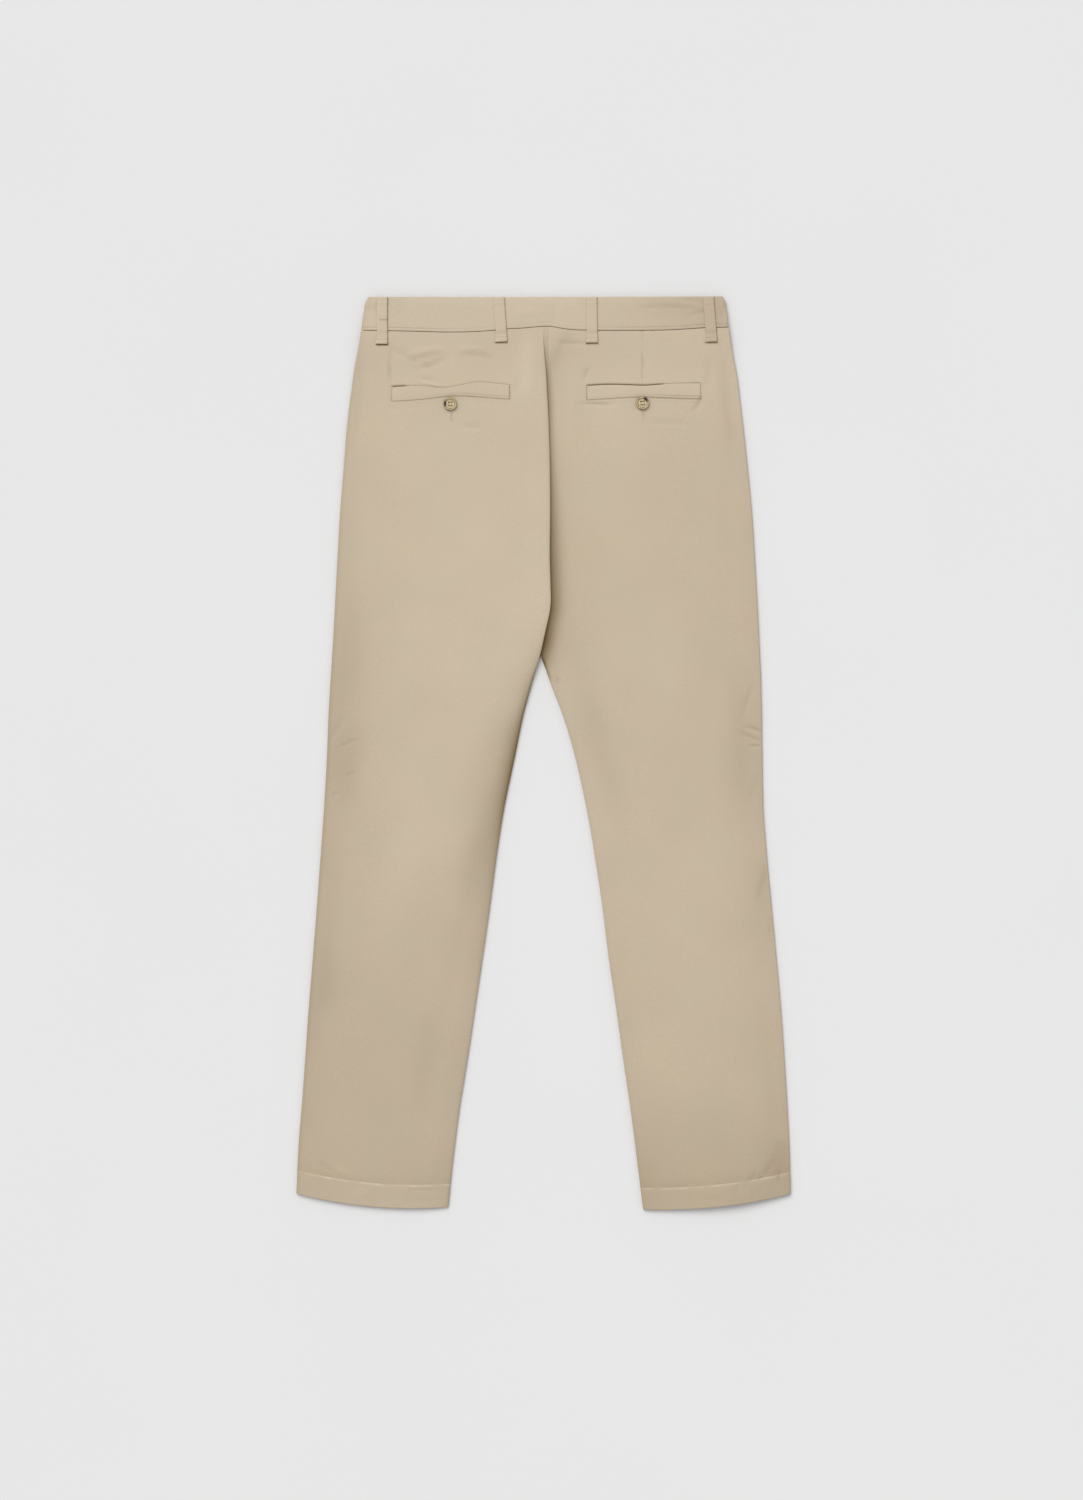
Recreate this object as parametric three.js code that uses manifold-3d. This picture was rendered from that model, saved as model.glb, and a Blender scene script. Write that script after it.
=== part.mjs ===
// Chino trousers, laid flat on their front with the seat side up. All sizes are in millimetres.
// +X runs to the right as the seat side is seen, +Y towards the waist and +Z up from the surface.
// The origin is on that surface, in the middle of the garment's outline.
// "Left" and "right" are the wearer's own, which is also how the seat side is seen.
import * as THREE from "three";
import { mergeVertices } from "three/addons/utils/BufferGeometryUtils.js";
import Module from "manifold-3d";

const wasm = await Module();
wasm.setup();

// Driving dimensions of the garment
const LENGTH = 1051; // waistband top to the lowest point of a hem
const HEM_SPREAD = 569.2; // between the outer corners of the two hems
const BAND_HEIGHT = 39;
const HEM_DEPTH = 23.5;
const LOOP = { length: 53, width: 13, cloth: 1.4, room: 1.3 }; // the room is for a belt
const WELT = { height: 17, cloth: 1 };
const BUTTON = { radius: 7.6, thickness: 2.5, hole: 0.9, holeOffset: 1.9 };

// Walls of cloth, and the gap that neighbouring pieces keep
const BACK_WALL = 1.2;
const FRONT_WALL = 1;
const BAND_WALL = 1.6;
const HEM_EXTRA = 0.7; // the turned-up hem is this much thicker
const GAP = 0.3;

// Heights above the surface
const SEAM_HEIGHT = 2.3; // side seams and inseams lie this high, halfway up a folded edge
const CROWN = 1.5; // how far a leg swells between its edges
const BAND_LIFT = 2.8; // the waistband lies on the front loops and button
const BAND_STACK = 5.8; // the waistband's two layers together
const FOLD_TOP = 7.4; // middle of the wall where the left seat folds over the right
const FOLD_RADIUS = 1.3;
const UNDER_FOLD = 3.2; // middle of the right seat's wall under that fold
const SEAT_AT_WAIST = 7.4; // middle of the back's wall at the waistband seam

const TOP = LENGTH / 2;
const WAIST = TOP - BAND_HEIGHT; // the waistband seam
const BOTTOM = -LENGTH / 2;
const HEM_LINE = BOTTOM + HEM_DEPTH;
const CROTCH = 112;
const OUTER = HEM_SPREAD / 2;

// Outlines: one row for each section down the garment. The inner edge is the centre fold above
// the crotch and the inseam below it. The tuck is the cloth turned under the fold.
const LEFT_SECTIONS = [
  { y: WAIST, outer: -210.5, inner: 6.3, tuck: -2 },
  { y: 471, outer: -213.5, inner: 4.8, tuck: 0 },
  { y: 455, outer: -217.5, inner: 3.8, tuck: 2 },
  { y: 395, outer: -226, inner: 6, tuck: 12 },
  { y: 280, outer: -235, inner: 8.6, tuck: 20 },
  { y: 190, outer: -239.5, inner: 8, tuck: 18 },
  { y: 150, outer: -242, inner: 4.5, tuck: 12 },
  { y: CROTCH, outer: -244.3, inner: -3.2, tuck: 3 },
  { y: 50, outer: -248, inner: -22.4, tuck: 0 },
  { y: -65, outer: -253.4, inner: -47.5, tuck: 0 },
  { y: -180, outer: -262.5, inner: -64, tuck: 0 },
  { y: -295, outer: -272, inner: -79.5, tuck: 0 },
  { y: -410, outer: -279.5, inner: -96, tuck: 0 },
  { y: BOTTOM, outer: -OUTER, inner: -108.5, tuck: 0 },
];
const RIGHT_SECTIONS = [
  { y: WAIST, outer: 216.8, inner: 6.7 },
  { y: 471, outer: 217.6, inner: 5.4 },
  { y: 455, outer: 219.4, inner: 0.5 },
  { y: 395, outer: 228, inner: -6 },
  { y: 280, outer: 240, inner: -11.4 },
  { y: 190, outer: 245.4, inner: -10 },
  { y: 150, outer: 247.6, inner: -7.5 },
  { y: CROTCH, outer: 249.5, inner: -2.6 },
  { y: 50, outer: 252, inner: 17 },
  { y: -65, outer: 252.6, inner: 49 },
  { y: -180, outer: 262.6, inner: 66 },
  { y: -295, outer: 274, inner: 80 },
  { y: -410, outer: 281, inner: 97 },
  { y: BOTTOM, outer: OUTER, inner: 115 },
];
// The waistband's ends, from its seam to its top edge; across is the share of its height.
const BAND_SECTIONS = [
  { across: 0, left: -210.5, right: 216.8 },
  { across: 0.4, left: -208.5, right: 215 },
  { across: 0.86, left: -205.4, right: 210 },
  { across: 1, left: -201.5, right: 206.5 },
];
const FLY = { middle: 3, lap: 5, under: -15, bottom: 290, stepFlat: 21.5, stepEnd: 29.5 };
const BAND_ENDS = { lap: 12, under: -22, clear: 2, ramp: 8 }; // from the fly's middle line
const POCKET_SLANT = { atWaist: 46, bottom: 325, facingUnder: 16 };
const BACK_LOOPS = [
  { name: "belt_loop_back_left_side", x: -185.2, tilt: 0 },
  { name: "belt_loop_back_left", x: -47.5, tilt: 4.2 },
  { name: "belt_loop_back_right", x: 57, tilt: 2.2 },
  { name: "belt_loop_back_right_side", x: 194, tilt: 4.6 },
];
const FRONT_LOOPS = [
  { name: "belt_loop_front_left", x: -104, tilt: 0 },
  { name: "belt_loop_front_right", x: 112, tilt: 0 },
];
// A belt loop's bends, down from the waistband's top edge; out is a share of the room for a belt.
const LOOP_BENDS = [
  { down: 0.6, out: 0 },
  { down: 4.6, out: 0 },
  { down: 8.6, out: 1 },
  { down: 36, out: 1 },
  { down: 45, out: 1 },
  { down: 48, out: 0 },
  { down: LOOP.length, out: 0 },
];
const BACK_POCKETS = [
  { side: "left", x: -105.8, y: 414.8, length: 138, tilt: 1, buttonX: -107.3, buttonY: 400.6 },
  { side: "right", x: 115.6, y: 416.2, length: 133, tilt: 0.8, buttonX: 113.7, buttonY: 401.6 },
];

const CLOTH = new THREE.MeshStandardMaterial({ color: 0xc9b795, roughness: 0.9, metalness: 0 });
const HORN = new THREE.MeshStandardMaterial({ color: 0x9a8460, roughness: 0.3, metalness: 0 });

const { clamp, degToRad } = THREE.MathUtils;
const mix = (a, b, t) => a + (b - a) * t;
// 0 below the first value, 1 above the second, and a soft slope between them.
const rise = (from, to, value) => {
  const t = clamp((value - from) / (to - from), 0, 1);
  return t * t * (3 - 2 * t);
};

// One column of a table of sections at height y, on a smooth curve through its rows.
function read(table, name, y) {
  const last = table.length - 1;
  let i = 0;
  while (i < last - 1 && y < table[i + 1].y) i += 1;
  const [a, b] = [table[i], table[i + 1]];
  const slope = (p, q) => (q[name] - p[name]) / (q.y - p.y);
  const slopeA = slope(table[Math.max(i - 1, 0)], b);
  const slopeB = slope(a, table[Math.min(i + 2, last)]);
  const span = b.y - a.y;
  const t = clamp((y - a.y) / span, 0, 1);
  const blend = t * t * (3 - 2 * t);
  const leaveA = t * (1 - t) * (1 - t) * span * slopeA;
  const reachB = t * t * (1 - t) * span * slopeB;
  return mix(a[name], b[name], blend) + leaveA - reachB;
}

// The waistband seam rises in a small peak at the seat seam.
const SEAT_PEAK = { x: 7, height: 5.5, width: 21 };
const seamRise = (x) => SEAT_PEAK.height * Math.exp(-(((x - SEAT_PEAK.x) / SEAT_PEAK.width) ** 2));
// A hem sweeps down from its outer corner to a low point near the inseam.
const HEM_SWEEP = { height: 16, lowest: 0.85 };
const hemRise = (across) => HEM_SWEEP.height * (1 - across / HEM_SWEEP.lowest) ** 2;
// How far a point of a panel lies above a row that would be straight.
const waistSweep = (rowY, x) => seamRise(x) * rise(WAIST - 56, WAIST, rowY);
const hemSweep = (rowY, across) => hemRise(across) * rise(330, 500, -rowY);

// Heights of the layers. The middle of a wall is given, unless it says otherwise.
const frontLift = (y) => 3.2 * rise(WAIST - 36, WAIST, y); // underside of the front
const seamHeight = (y) => mix(SEAM_HEIGHT, 5.6, rise(WAIST - 50, WAIST, y));
const sideHeight = (y) => mix(4, SEAT_AT_WAIST, rise(WAIST - 56, WAIST, y)); // back, at a side fold
const crown = (y) => CROWN * rise(WAIST - 16, WAIST - 76, y) * mix(1, 0.7, rise(380, 500, -y));
const dome = (across) => 1 - Math.abs(2 * across - 1) ** 3;
const inHem = (y) => (y < HEM_LINE ? 1 : 0);
// How far the inner edges have gone over from the seat to an inseam, and the left one to its fold.
const inLeg = (y) => rise(CROTCH + 2, CROTCH - 24, y);
const inFold = (y) => rise(CROTCH - 28, CROTCH - 1, y);

function leftInnerHeight(y) {
  const seat = mix(FOLD_TOP, SEAT_AT_WAIST, rise(WAIST - 66, WAIST - 16, y));
  return mix(sideHeight(y), seat, rise(-110, CROTCH, y));
}
function rightInnerHeight(y) {
  const climb = SEAT_AT_WAIST - UNDER_FOLD - frontLift(WAIST);
  const seat = UNDER_FOLD + frontLift(y + SEAT_PEAK.height) + climb * rise(WAIST - 30, WAIST, y);
  return mix(sideHeight(y), seat, rise(CROTCH - 40, CROTCH + 6, y));
}
// The back panels between their edges; a share runs from the outer edge to the inner one.
const leftHeight = (y, share) =>
  mix(sideHeight(y), leftInnerHeight(y), rise(0.72, 0.98, share)) + crown(y) * dome(share);
function rightHeight(y, share) {
  const [outer, inner] = [read(RIGHT_SECTIONS, "outer", y), read(RIGHT_SECTIONS, "inner", y)];
  const cover = read(LEFT_SECTIONS, "inner", y); // the fold covers everything left of this
  const hidden = y > CROTCH ? clamp((outer - cover) / (outer - inner), 0.5, 1) : 1;
  const domed = sideHeight(y) + crown(y) * dome(share);
  return mix(domed, rightInnerHeight(y), rise(hidden - 0.16, hidden - 0.02, share));
}

// Stations from where an edge starts to turn, round its arc, to the end of any tuck.
function edgeStations(edge, face, count) {
  const { x, z, towards, radius, wall, turn, tuck = 0, lead = 1.5 } = edge;
  const startX = x - towards * (radius + wall / 2) * Math.sin(Math.min(turn, Math.PI / 2));
  const length = lead + radius * turn + tuck;
  const stations = [];
  for (let k = 0; k < count; k += 1) {
    const s = (length * k) / (count - 1) - lead;
    const angle = clamp(s / radius, 0, turn);
    const straight = s < 0 ? s : Math.max(s - radius * turn, 0);
    const [sin, cos] = [Math.sin(angle), Math.cos(angle)];
    stations.push({
      x: startX + towards * (radius * sin + straight * cos),
      z: z - face * (radius * (1 - cos) + straight * sin),
      nx: towards * sin,
      nz: face * cos,
      wall,
    });
  }
  return stations;
}

// A section across a panel: its outer edge, a stretch that follows a height, and its inner edge.
// The stretch has stations at shares of its width, and then at distances from the inner edge.
function panelSection({ outer, inner, height, shares, insets, face, wall }) {
  const first = edgeStations(outer, face, outer.count).reverse();
  const last = edgeStations(inner, face, inner.count);
  const [from, to] = [first.at(-1).x, last[0].x];
  const width = Math.abs(to - from);
  const middle = [...shares, ...insets.map((d) => 1 - d / width)].map((share) => {
    const d = 0.002;
    const slope = (height(share + d) - height(share - d)) / (2 * d * (to - from));
    const size = Math.hypot(slope, 1);
    return {
      x: mix(from, to, share),
      z: height(share),
      nx: (-face * slope) / size,
      nz: face / size,
      wall,
    };
  });
  return [...first, ...middle, ...last];
}

// A closed wall from rows of stations, thickened to both sides of them.
function wallGeometry(rows) {
  const count = rows[0].length;
  const positions = [];
  for (const side of [0.5, -0.5])
    for (const row of rows)
      for (const p of row)
        positions.push(p.x + side * p.nx * p.wall, p.y, p.z + side * p.nz * p.wall);
  const at = (side, r, k) => (side * rows.length + r) * count + k;
  const index = [];
  const quad = (a, b, c, d) => index.push(a, b, c, a, c, d);
  for (let r = 0; r < rows.length - 1; r += 1) {
    for (let k = 0; k < count - 1; k += 1) {
      quad(at(0, r, k), at(0, r + 1, k), at(0, r + 1, k + 1), at(0, r, k + 1));
      quad(at(1, r, k), at(1, r, k + 1), at(1, r + 1, k + 1), at(1, r + 1, k));
    }
    quad(at(0, r, 0), at(1, r, 0), at(1, r + 1, 0), at(0, r + 1, 0));
    const k = count - 1;
    quad(at(0, r, k), at(0, r + 1, k), at(1, r + 1, k), at(1, r, k));
  }
  for (let k = 0; k < count - 1; k += 1) {
    quad(at(0, 0, k), at(0, 0, k + 1), at(1, 0, k + 1), at(1, 0, k));
    const r = rows.length - 1;
    quad(at(0, r, k), at(1, r, k), at(1, r, k + 1), at(0, r, k + 1));
  }
  return facingOut(positions, index);
}

// A geometry whose faces point out, whichever way its rows ran.
function facingOut(positions, index) {
  const p = (i) => new THREE.Vector3().fromArray(positions, 3 * i);
  let volume = 0;
  for (let i = 0; i < index.length; i += 3)
    volume += p(index[i]).dot(p(index[i + 1]).cross(p(index[i + 2])));
  if (volume < 0)
    for (let i = 0; i < index.length; i += 3)
      [index[i + 1], index[i + 2]] = [index[i + 2], index[i + 1]];
  const geometry = new THREE.BufferGeometry();
  geometry.setAttribute("position", new THREE.Float32BufferAttribute(positions, 3));
  geometry.setIndex(index);
  return geometry;
}

// Rows of a panel, at the heights listed, with each station given its place along Y.
function panelRows(heights, sectionAt, sweepAtWaist = () => 0) {
  return heights.map((rowY) => {
    const { stations, outerX, innerX } = sectionAt(rowY);
    return stations.map((p) => {
      const across = clamp((p.x - outerX) / (innerX - outerX), 0, 1);
      return { ...p, y: rowY + sweepAtWaist(rowY, p.x) + hemSweep(rowY, across) };
    });
  });
}

const BACK_ROWS = [
  WAIST - GAP / 2, 478, 470, 461, 451, 438, 422, 400, 372, 340, 305, 268, 230, 195, 168, 148, 130, CROTCH,
  98, 84, 62, 30, -15, -65, -125, -190, -255, -320, -380, -430, -470,
  HEM_LINE + 0.6, HEM_LINE - 0.6, -514, BOTTOM,
];
const FRONT_ROWS = [
  WAIST - GAP / 2, 478, 470, 461, 451, 425, 380, 340, 325, 310, 298, 290, 279, 268, 220, 165, 130, CROTCH,
  98, 84, 50, -15, -90, -190, -295, -400, -470,
  HEM_LINE + 0.6, HEM_LINE - 0.6, BOTTOM,
];
const OUTER_SHARES = [0.05, 0.13, 0.24, 0.37, 0.5];
const INNER_INSETS = [76, 56, 42, 32, 24, 17, 11, 5]; // closer together near the seat seam's peak
const QUARTER = Math.PI / 2;

const sideEdge = (y, x, towards, wall) => ({
  x,
  towards,
  wall,
  z: sideHeight(y),
  radius: sideHeight(y) - seamHeight(y) - GAP / 2,
  turn: QUARTER,
  count: 5,
});

// The left back panel. Above the crotch its inner edge folds under itself and covers the right
// panel; below the crotch it rolls down to the inseam.
function backLeft() {
  const sectionAt = (y) => {
    const [outerX, innerX] = [read(LEFT_SECTIONS, "outer", y), read(LEFT_SECTIONS, "inner", y)];
    const wall = BACK_WALL + HEM_EXTRA * inHem(y);
    const top = leftInnerHeight(y);
    const folded = inFold(y);
    const turned = rise(WAIST - 20, WAIST - 46, y); // near the waistband it barely turns
    const turn = mix(QUARTER, 2 * QUARTER, folded);
    const underside = mix(SEAM_HEIGHT + GAP / 2, FOLD_TOP - 2 * FOLD_RADIUS - wall / 2, folded);
    const inner = {
      x: innerX,
      z: top,
      towards: 1,
      wall,
      radius:
        turned < 1 ? FOLD_RADIUS : (top - underside + (wall / 2) * Math.cos(turn)) / (1 - Math.cos(turn)),
      turn: mix(0.5, turn, turned),
      tuck: Math.max(read(LEFT_SECTIONS, "tuck", y), 0) * turned ** 3 * folded,
      count: 7,
    };
    const outer = sideEdge(y, outerX, -1, wall);
    const height = (share) => leftHeight(y, share);
    const lines = { shares: OUTER_SHARES, insets: INNER_INSETS };
    const stations = panelSection({ outer, inner, height, ...lines, face: 1, wall });
    return { stations, outerX, innerX };
  };
  return wallGeometry(panelRows(BACK_ROWS, sectionAt, waistSweep));
}

// The right back panel. Above the crotch its inner edge dips and slides under the left panel.
function backRight() {
  const sectionAt = (y) => {
    const [outerX, innerX] = [read(RIGHT_SECTIONS, "outer", y), read(RIGHT_SECTIONS, "inner", y)];
    const wall = BACK_WALL + HEM_EXTRA * inHem(y);
    const top = rightInnerHeight(y);
    const rolled = inLeg(y);
    const inner = {
      x: innerX,
      z: top,
      towards: -1,
      wall,
      radius: mix(0.8, top - SEAM_HEIGHT - GAP / 2, rolled),
      turn: mix(0.35, QUARTER, rolled),
      count: 5,
    };
    const outer = sideEdge(y, outerX, 1, wall);
    const height = (share) => rightHeight(y, share);
    const lines = { shares: OUTER_SHARES, insets: INNER_INSETS };
    const stations = panelSection({ outer, inner, height, ...lines, face: 1, wall });
    return { stations, outerX, innerX };
  };
  return wallGeometry(panelRows(BACK_ROWS, sectionAt, waistSweep));
}

// The line where the two fronts meet, from the waistband to the crotch.
const frontMiddle = (y) => mix(-2.9, FLY.middle, (y - CROTCH) / (WAIST - CROTCH));
const flyOpen = (y) => rise(FLY.bottom, FLY.bottom + 20, y); // the lap is full above the fly's foot

// How far the slanted pocket opening cuts in from the side seam.
const slantInset = (y) =>
  POCKET_SLANT.atWaist * Math.max(0, (y - POCKET_SLANT.bottom) / (WAIST - POCKET_SLANT.bottom));

function frontPanel(table, towardsMiddle, innerAt, raiseAt) {
  const sectionAt = (y) => {
    const wall = FRONT_WALL + HEM_EXTRA * inHem(y);
    const z = frontLift(y) + wall / 2;
    const inset = slantInset(y);
    const atSlant = rise(POCKET_SLANT.bottom - 25, POCKET_SLANT.bottom, y);
    const outerX = read(table, "outer", y) + towardsMiddle * inset;
    const { x: innerX, turn } = innerAt(y);
    const radius = SEAM_HEIGHT - GAP / 2 - wall / 2;
    const outer = {
      x: outerX,
      z,
      towards: -towardsMiddle,
      wall,
      radius,
      turn: mix(QUARTER, 0.2, atSlant),
      count: 4,
    };
    const raise = raiseAt(y);
    const inner = { x: innerX, z: z + raise.full, towards: towardsMiddle, wall, radius, turn, count: 4 };
    const width = Math.abs(innerX - outerX);
    const height = (share) => z + raise.full * rise(raise.end, raise.start, width * (1 - share));
    const lines = { shares: [0.25, 0.5, 0.7], insets: [30, 26, 22, 18, 9] };
    const stations = panelSection({ outer, inner, height, ...lines, face: -1, wall });
    return { stations, outerX, innerX };
  };
  return wallGeometry(panelRows(FRONT_ROWS, sectionAt));
}

const inseamTurn = (y) => mix(0.2, QUARTER, inLeg(y));

// The left front laps over the right one at the fly; in this pose it is the lower of the two.
const frontLeft = () =>
  frontPanel(
    LEFT_SECTIONS,
    1,
    (y) => {
      const seam = frontMiddle(y) - GAP / 2 + FLY.lap * flyOpen(y);
      return { x: y >= CROTCH ? seam : read(LEFT_SECTIONS, "inner", y), turn: inseamTurn(y) };
    },
    () => ({ full: 0, start: 0, end: 1 }),
  );

// The right front runs on under the fly, raised by one layer of cloth.
const frontRight = () =>
  frontPanel(
    RIGHT_SECTIONS,
    -1,
    (y) => {
      const seam = frontMiddle(y) + GAP / 2 + FLY.under * flyOpen(y);
      return { x: y >= CROTCH ? seam : read(RIGHT_SECTIONS, "inner", y), turn: inseamTurn(y) };
    },
    (y) => ({
      full: (FRONT_WALL + GAP) * rise(FLY.bottom - 22, FLY.bottom - 4, y),
      start: FLY.stepFlat,
      end: FLY.stepEnd,
    }),
  );

// The hip piece that shows inside a slanted front pocket, one layer above the front.
function pocketFacing(table, towardsMiddle) {
  const heights = [...FRONT_ROWS.filter((y) => y > POCKET_SLANT.bottom), POCKET_SLANT.bottom, 305];
  const rows = heights.map((rowY) => {
    const sideX = read(table, "outer", rowY) + towardsMiddle * 2;
    const width = slantInset(rowY) + POCKET_SLANT.facingUnder;
    return [0, 0.33, 0.67, 1].map((share) => {
      const x = sideX + towardsMiddle * width * share;
      const z = frontLift(rowY) + FRONT_WALL * 1.5 + GAP;
      return { x, y: rowY, z, nx: 0, nz: -1, wall: FRONT_WALL };
    });
  });
  return wallGeometry(rows);
}

// The waistband: one strip round the waist whose ends overlap at the front.
function waistband() {
  const radius = (BAND_STACK - BAND_WALL) / 2;
  const low = BAND_LIFT + BAND_WALL / 2;
  const high = low + 2 * radius;
  const outside = BAND_STACK / 2;
  const end = { lap: FLY.middle + BAND_ENDS.lap, under: FLY.middle + BAND_ENDS.under };
  const stepAt = end.lap + BAND_ENDS.clear;
  const rows = BAND_SECTIONS.map(({ across, left, right }) => {
    const stations = [];
    const add = (x, z, nx, nz) => {
      const seam = WAIST + GAP / 2 + (z > low + radius ? seamRise(x) : 0);
      stations.push({ x, y: mix(seam, TOP, across), z, nx, nz, wall: BAND_WALL });
    };
    const run = (from, to, z, face, count) => {
      for (let k = 0; k < count; k += 1) add(mix(from, to, k / (count - 1)), z, 0, face);
    };
    const turn = (centreX, from, to, count) => {
      for (let k = 1; k < count; k += 1) {
        const angle = mix(from, to, k / count);
        const [cos, sin] = [Math.cos(angle), Math.sin(angle)];
        add(centreX + radius * cos, low + radius + radius * sin, cos, sin);
      }
    };
    run(end.lap, left + outside, low, -1, 5);
    turn(left + outside, -QUARTER, -3 * QUARTER, 6);
    run(left + outside, SEAT_PEAK.x - 90, high, 1, 4);
    for (const d of [-70, -54, -41, -31, -23, -16, -10, -5, 0, 5, 10, 16, 23, 31, 41, 54, 70])
      add(SEAT_PEAK.x + d, high, 0, 1);
    run(SEAT_PEAK.x + 90, right - outside, high, 1, 4);
    turn(right - outside, QUARTER, -QUARTER, 6);
    run(right - outside, stepAt + BAND_ENDS.ramp, low, -1, 4);
    run(stepAt, end.under, low + BAND_WALL + GAP, -1, 3);
    return stations;
  });
  return wallGeometry(rows);
}

// The outer surface of the seat side, at a point of it: what lies on a panel is made from this.
function backSurface(x, y) {
  const left = x < read(LEFT_SECTIONS, "inner", y);
  const table = left ? LEFT_SECTIONS : RIGHT_SECTIONS;
  const [outer, inner] = [read(table, "outer", y), read(table, "inner", y)];
  const share = clamp((x - outer) / (inner - outer), 0, 1);
  return (left ? leftHeight(y, share) : rightHeight(y, share)) + BACK_WALL / 2;
}

// A belt loop from its profile: fast at both ends, with room for a belt between them.
function beltLoop({ x }, baseAt, face) {
  const foot = TOP - LOOP.length;
  const near = LOOP_BENDS.map(({ down, out }) => {
    const y = TOP - down;
    return new THREE.Vector2(y, baseAt(x, y) + face * (GAP + out * LOOP.room));
  });
  const outermost = Math.max(...near.map((p) => p.y)) + LOOP.cloth;
  // On the back a turned-under end makes the top thicker; on the front the far side is the surface.
  const far = near.map(({ x: y, y: z }) => {
    const thick = y > WAIST ? Math.max(z + LOOP.cloth, outermost - 1) : z + LOOP.cloth;
    return new THREE.Vector2(y, face > 0 ? thick : 0);
  });
  const shape = new THREE.Shape([...near, ...far.reverse()]);
  const strap = new THREE.ExtrudeGeometry(shape, { depth: LOOP.width, bevelEnabled: false });
  // The profile's plane becomes YZ and the extrusion runs along X.
  const upright = new THREE.Matrix4().makeBasis(
    new THREE.Vector3(0, 1, 0),
    new THREE.Vector3(0, 0, 1),
    new THREE.Vector3(1, 0, 0),
  );
  strap.translate(0, 0, -LOOP.width / 2).applyMatrix4(upright);
  return strap.translate(0, -foot, 0);
}

// A welt: a narrow strip on the back panel, bent to follow it.
function welt({ x, y, length, tilt }) {
  const turn = degToRad(tilt);
  const rows = [1, 0, -1].map((side) =>
    Array.from({ length: 9 }, (_, k) => {
      const along = mix(-length / 2, length / 2, k / 8);
      const up = (side * WELT.height) / 2;
      const px = x + along * Math.cos(turn) - up * Math.sin(turn);
      const py = y + along * Math.sin(turn) + up * Math.cos(turn);
      const z = backSurface(px, py) + 1.5 * GAP + WELT.cloth / 2;
      return { x: px, y: py, z, nx: 0, nz: 1, wall: WELT.cloth };
    }),
  );
  return wallGeometry(rows);
}

// A round button with a raised rim and four thread holes, its back face at z = 0.
function button() {
  const { radius, thickness, hole, holeOffset } = BUTTON;
  const profile = [
    [0, 0],
    [radius - 1.2, 0],
    [radius - 0.3, 0.5],
    [radius, 1.2],
    [radius - 0.3, thickness - 0.3],
    [radius - 1.1, thickness],
    [radius - 2.2, thickness - 0.35],
    [radius - 3.2, thickness - 0.9],
    [0, thickness - 1],
  ].map(([r, height]) => new THREE.Vector2(r, height));
  const disc = new THREE.LatheGeometry(profile, 28).rotateX(QUARTER);
  let solid = solidOf(disc);
  for (const [sx, sy] of [[1, 1], [1, -1], [-1, 1], [-1, -1]]) {
    const drill = new THREE.CylinderGeometry(hole, hole, 3 * thickness, 8).rotateX(QUARTER);
    drill.translate(sx * holeOffset, sy * holeOffset, 0);
    solid = solid.subtract(solidOf(drill));
  }
  return geometryOf(solid);
}

function solidOf(geometry) {
  geometry.deleteAttribute("normal");
  geometry.deleteAttribute("uv");
  const merged = mergeVertices(geometry, 1e-3);
  const solid = new wasm.Manifold(
    new wasm.Mesh({
      numProp: 3,
      vertProperties: merged.attributes.position.array,
      triVerts: new Uint32Array(merged.index.array),
    }),
  );
  return solid;
}

function geometryOf(solid) {
  const { numProp, vertProperties, triVerts } = solid.getMesh();
  const positions = [];
  for (let i = 0; i < vertProperties.length; i += numProp)
    positions.push(...vertProperties.subarray(i, i + 3));
  return facingOut(positions, [...triVerts]);
}

const trousers = new THREE.Group();
function add(name, geometry, material) {
  const mesh = new THREE.Mesh(geometry, material);
  mesh.name = name;
  trousers.add(mesh);
  return mesh;
}

add("back_left", backLeft(), CLOTH);
add("back_right", backRight(), CLOTH);
add("front_left", frontLeft(), CLOTH);
add("front_right", frontRight(), CLOTH);
add("pocket_facing_left", pocketFacing(LEFT_SECTIONS, 1), CLOTH);
add("pocket_facing_right", pocketFacing(RIGHT_SECTIONS, -1), CLOTH);
add("waistband", waistband(), CLOTH);

const bandTop = BAND_LIFT + BAND_STACK;
const backBase = (x, y) => (y > WAIST - 1 ? bandTop : backSurface(x, y));
const frontBase = (x, y) => (y > WAIST - 1 ? BAND_LIFT : frontLift(y));
for (const loop of BACK_LOOPS) {
  const strap = add(loop.name, beltLoop(loop, backBase, 1), CLOTH);
  strap.position.set(loop.x, TOP - LOOP.length, 0);
  strap.rotation.z = degToRad(loop.tilt);
}
for (const loop of FRONT_LOOPS) {
  const strap = add(loop.name, beltLoop(loop, frontBase, -1), CLOTH);
  strap.position.set(loop.x, TOP - LOOP.length, 0);
  strap.rotation.z = degToRad(loop.tilt);
}
for (const pocket of BACK_POCKETS) {
  add(`welt_${pocket.side}`, welt(pocket), CLOTH);
  const { buttonX: x, buttonY: y } = pocket;
  const carrier = Math.max(...[-1, 1].map((side) => backSurface(x, y + side * BUTTON.radius)));
  const top = carrier + WELT.cloth + 2.6 * GAP;
  add(`button_back_${pocket.side}`, button(), HORN).position.set(x, y, top);
}

// The front button's face lies on the surface.
const frontButton = add("button_front", button(), HORN);
frontButton.position.set(FLY.middle, WAIST + 20, BUTTON.thickness);
frontButton.rotation.x = Math.PI;

export default trousers;
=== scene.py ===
import math

import bpy
import numpy as np
from mathutils import Matrix, Vector


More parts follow.
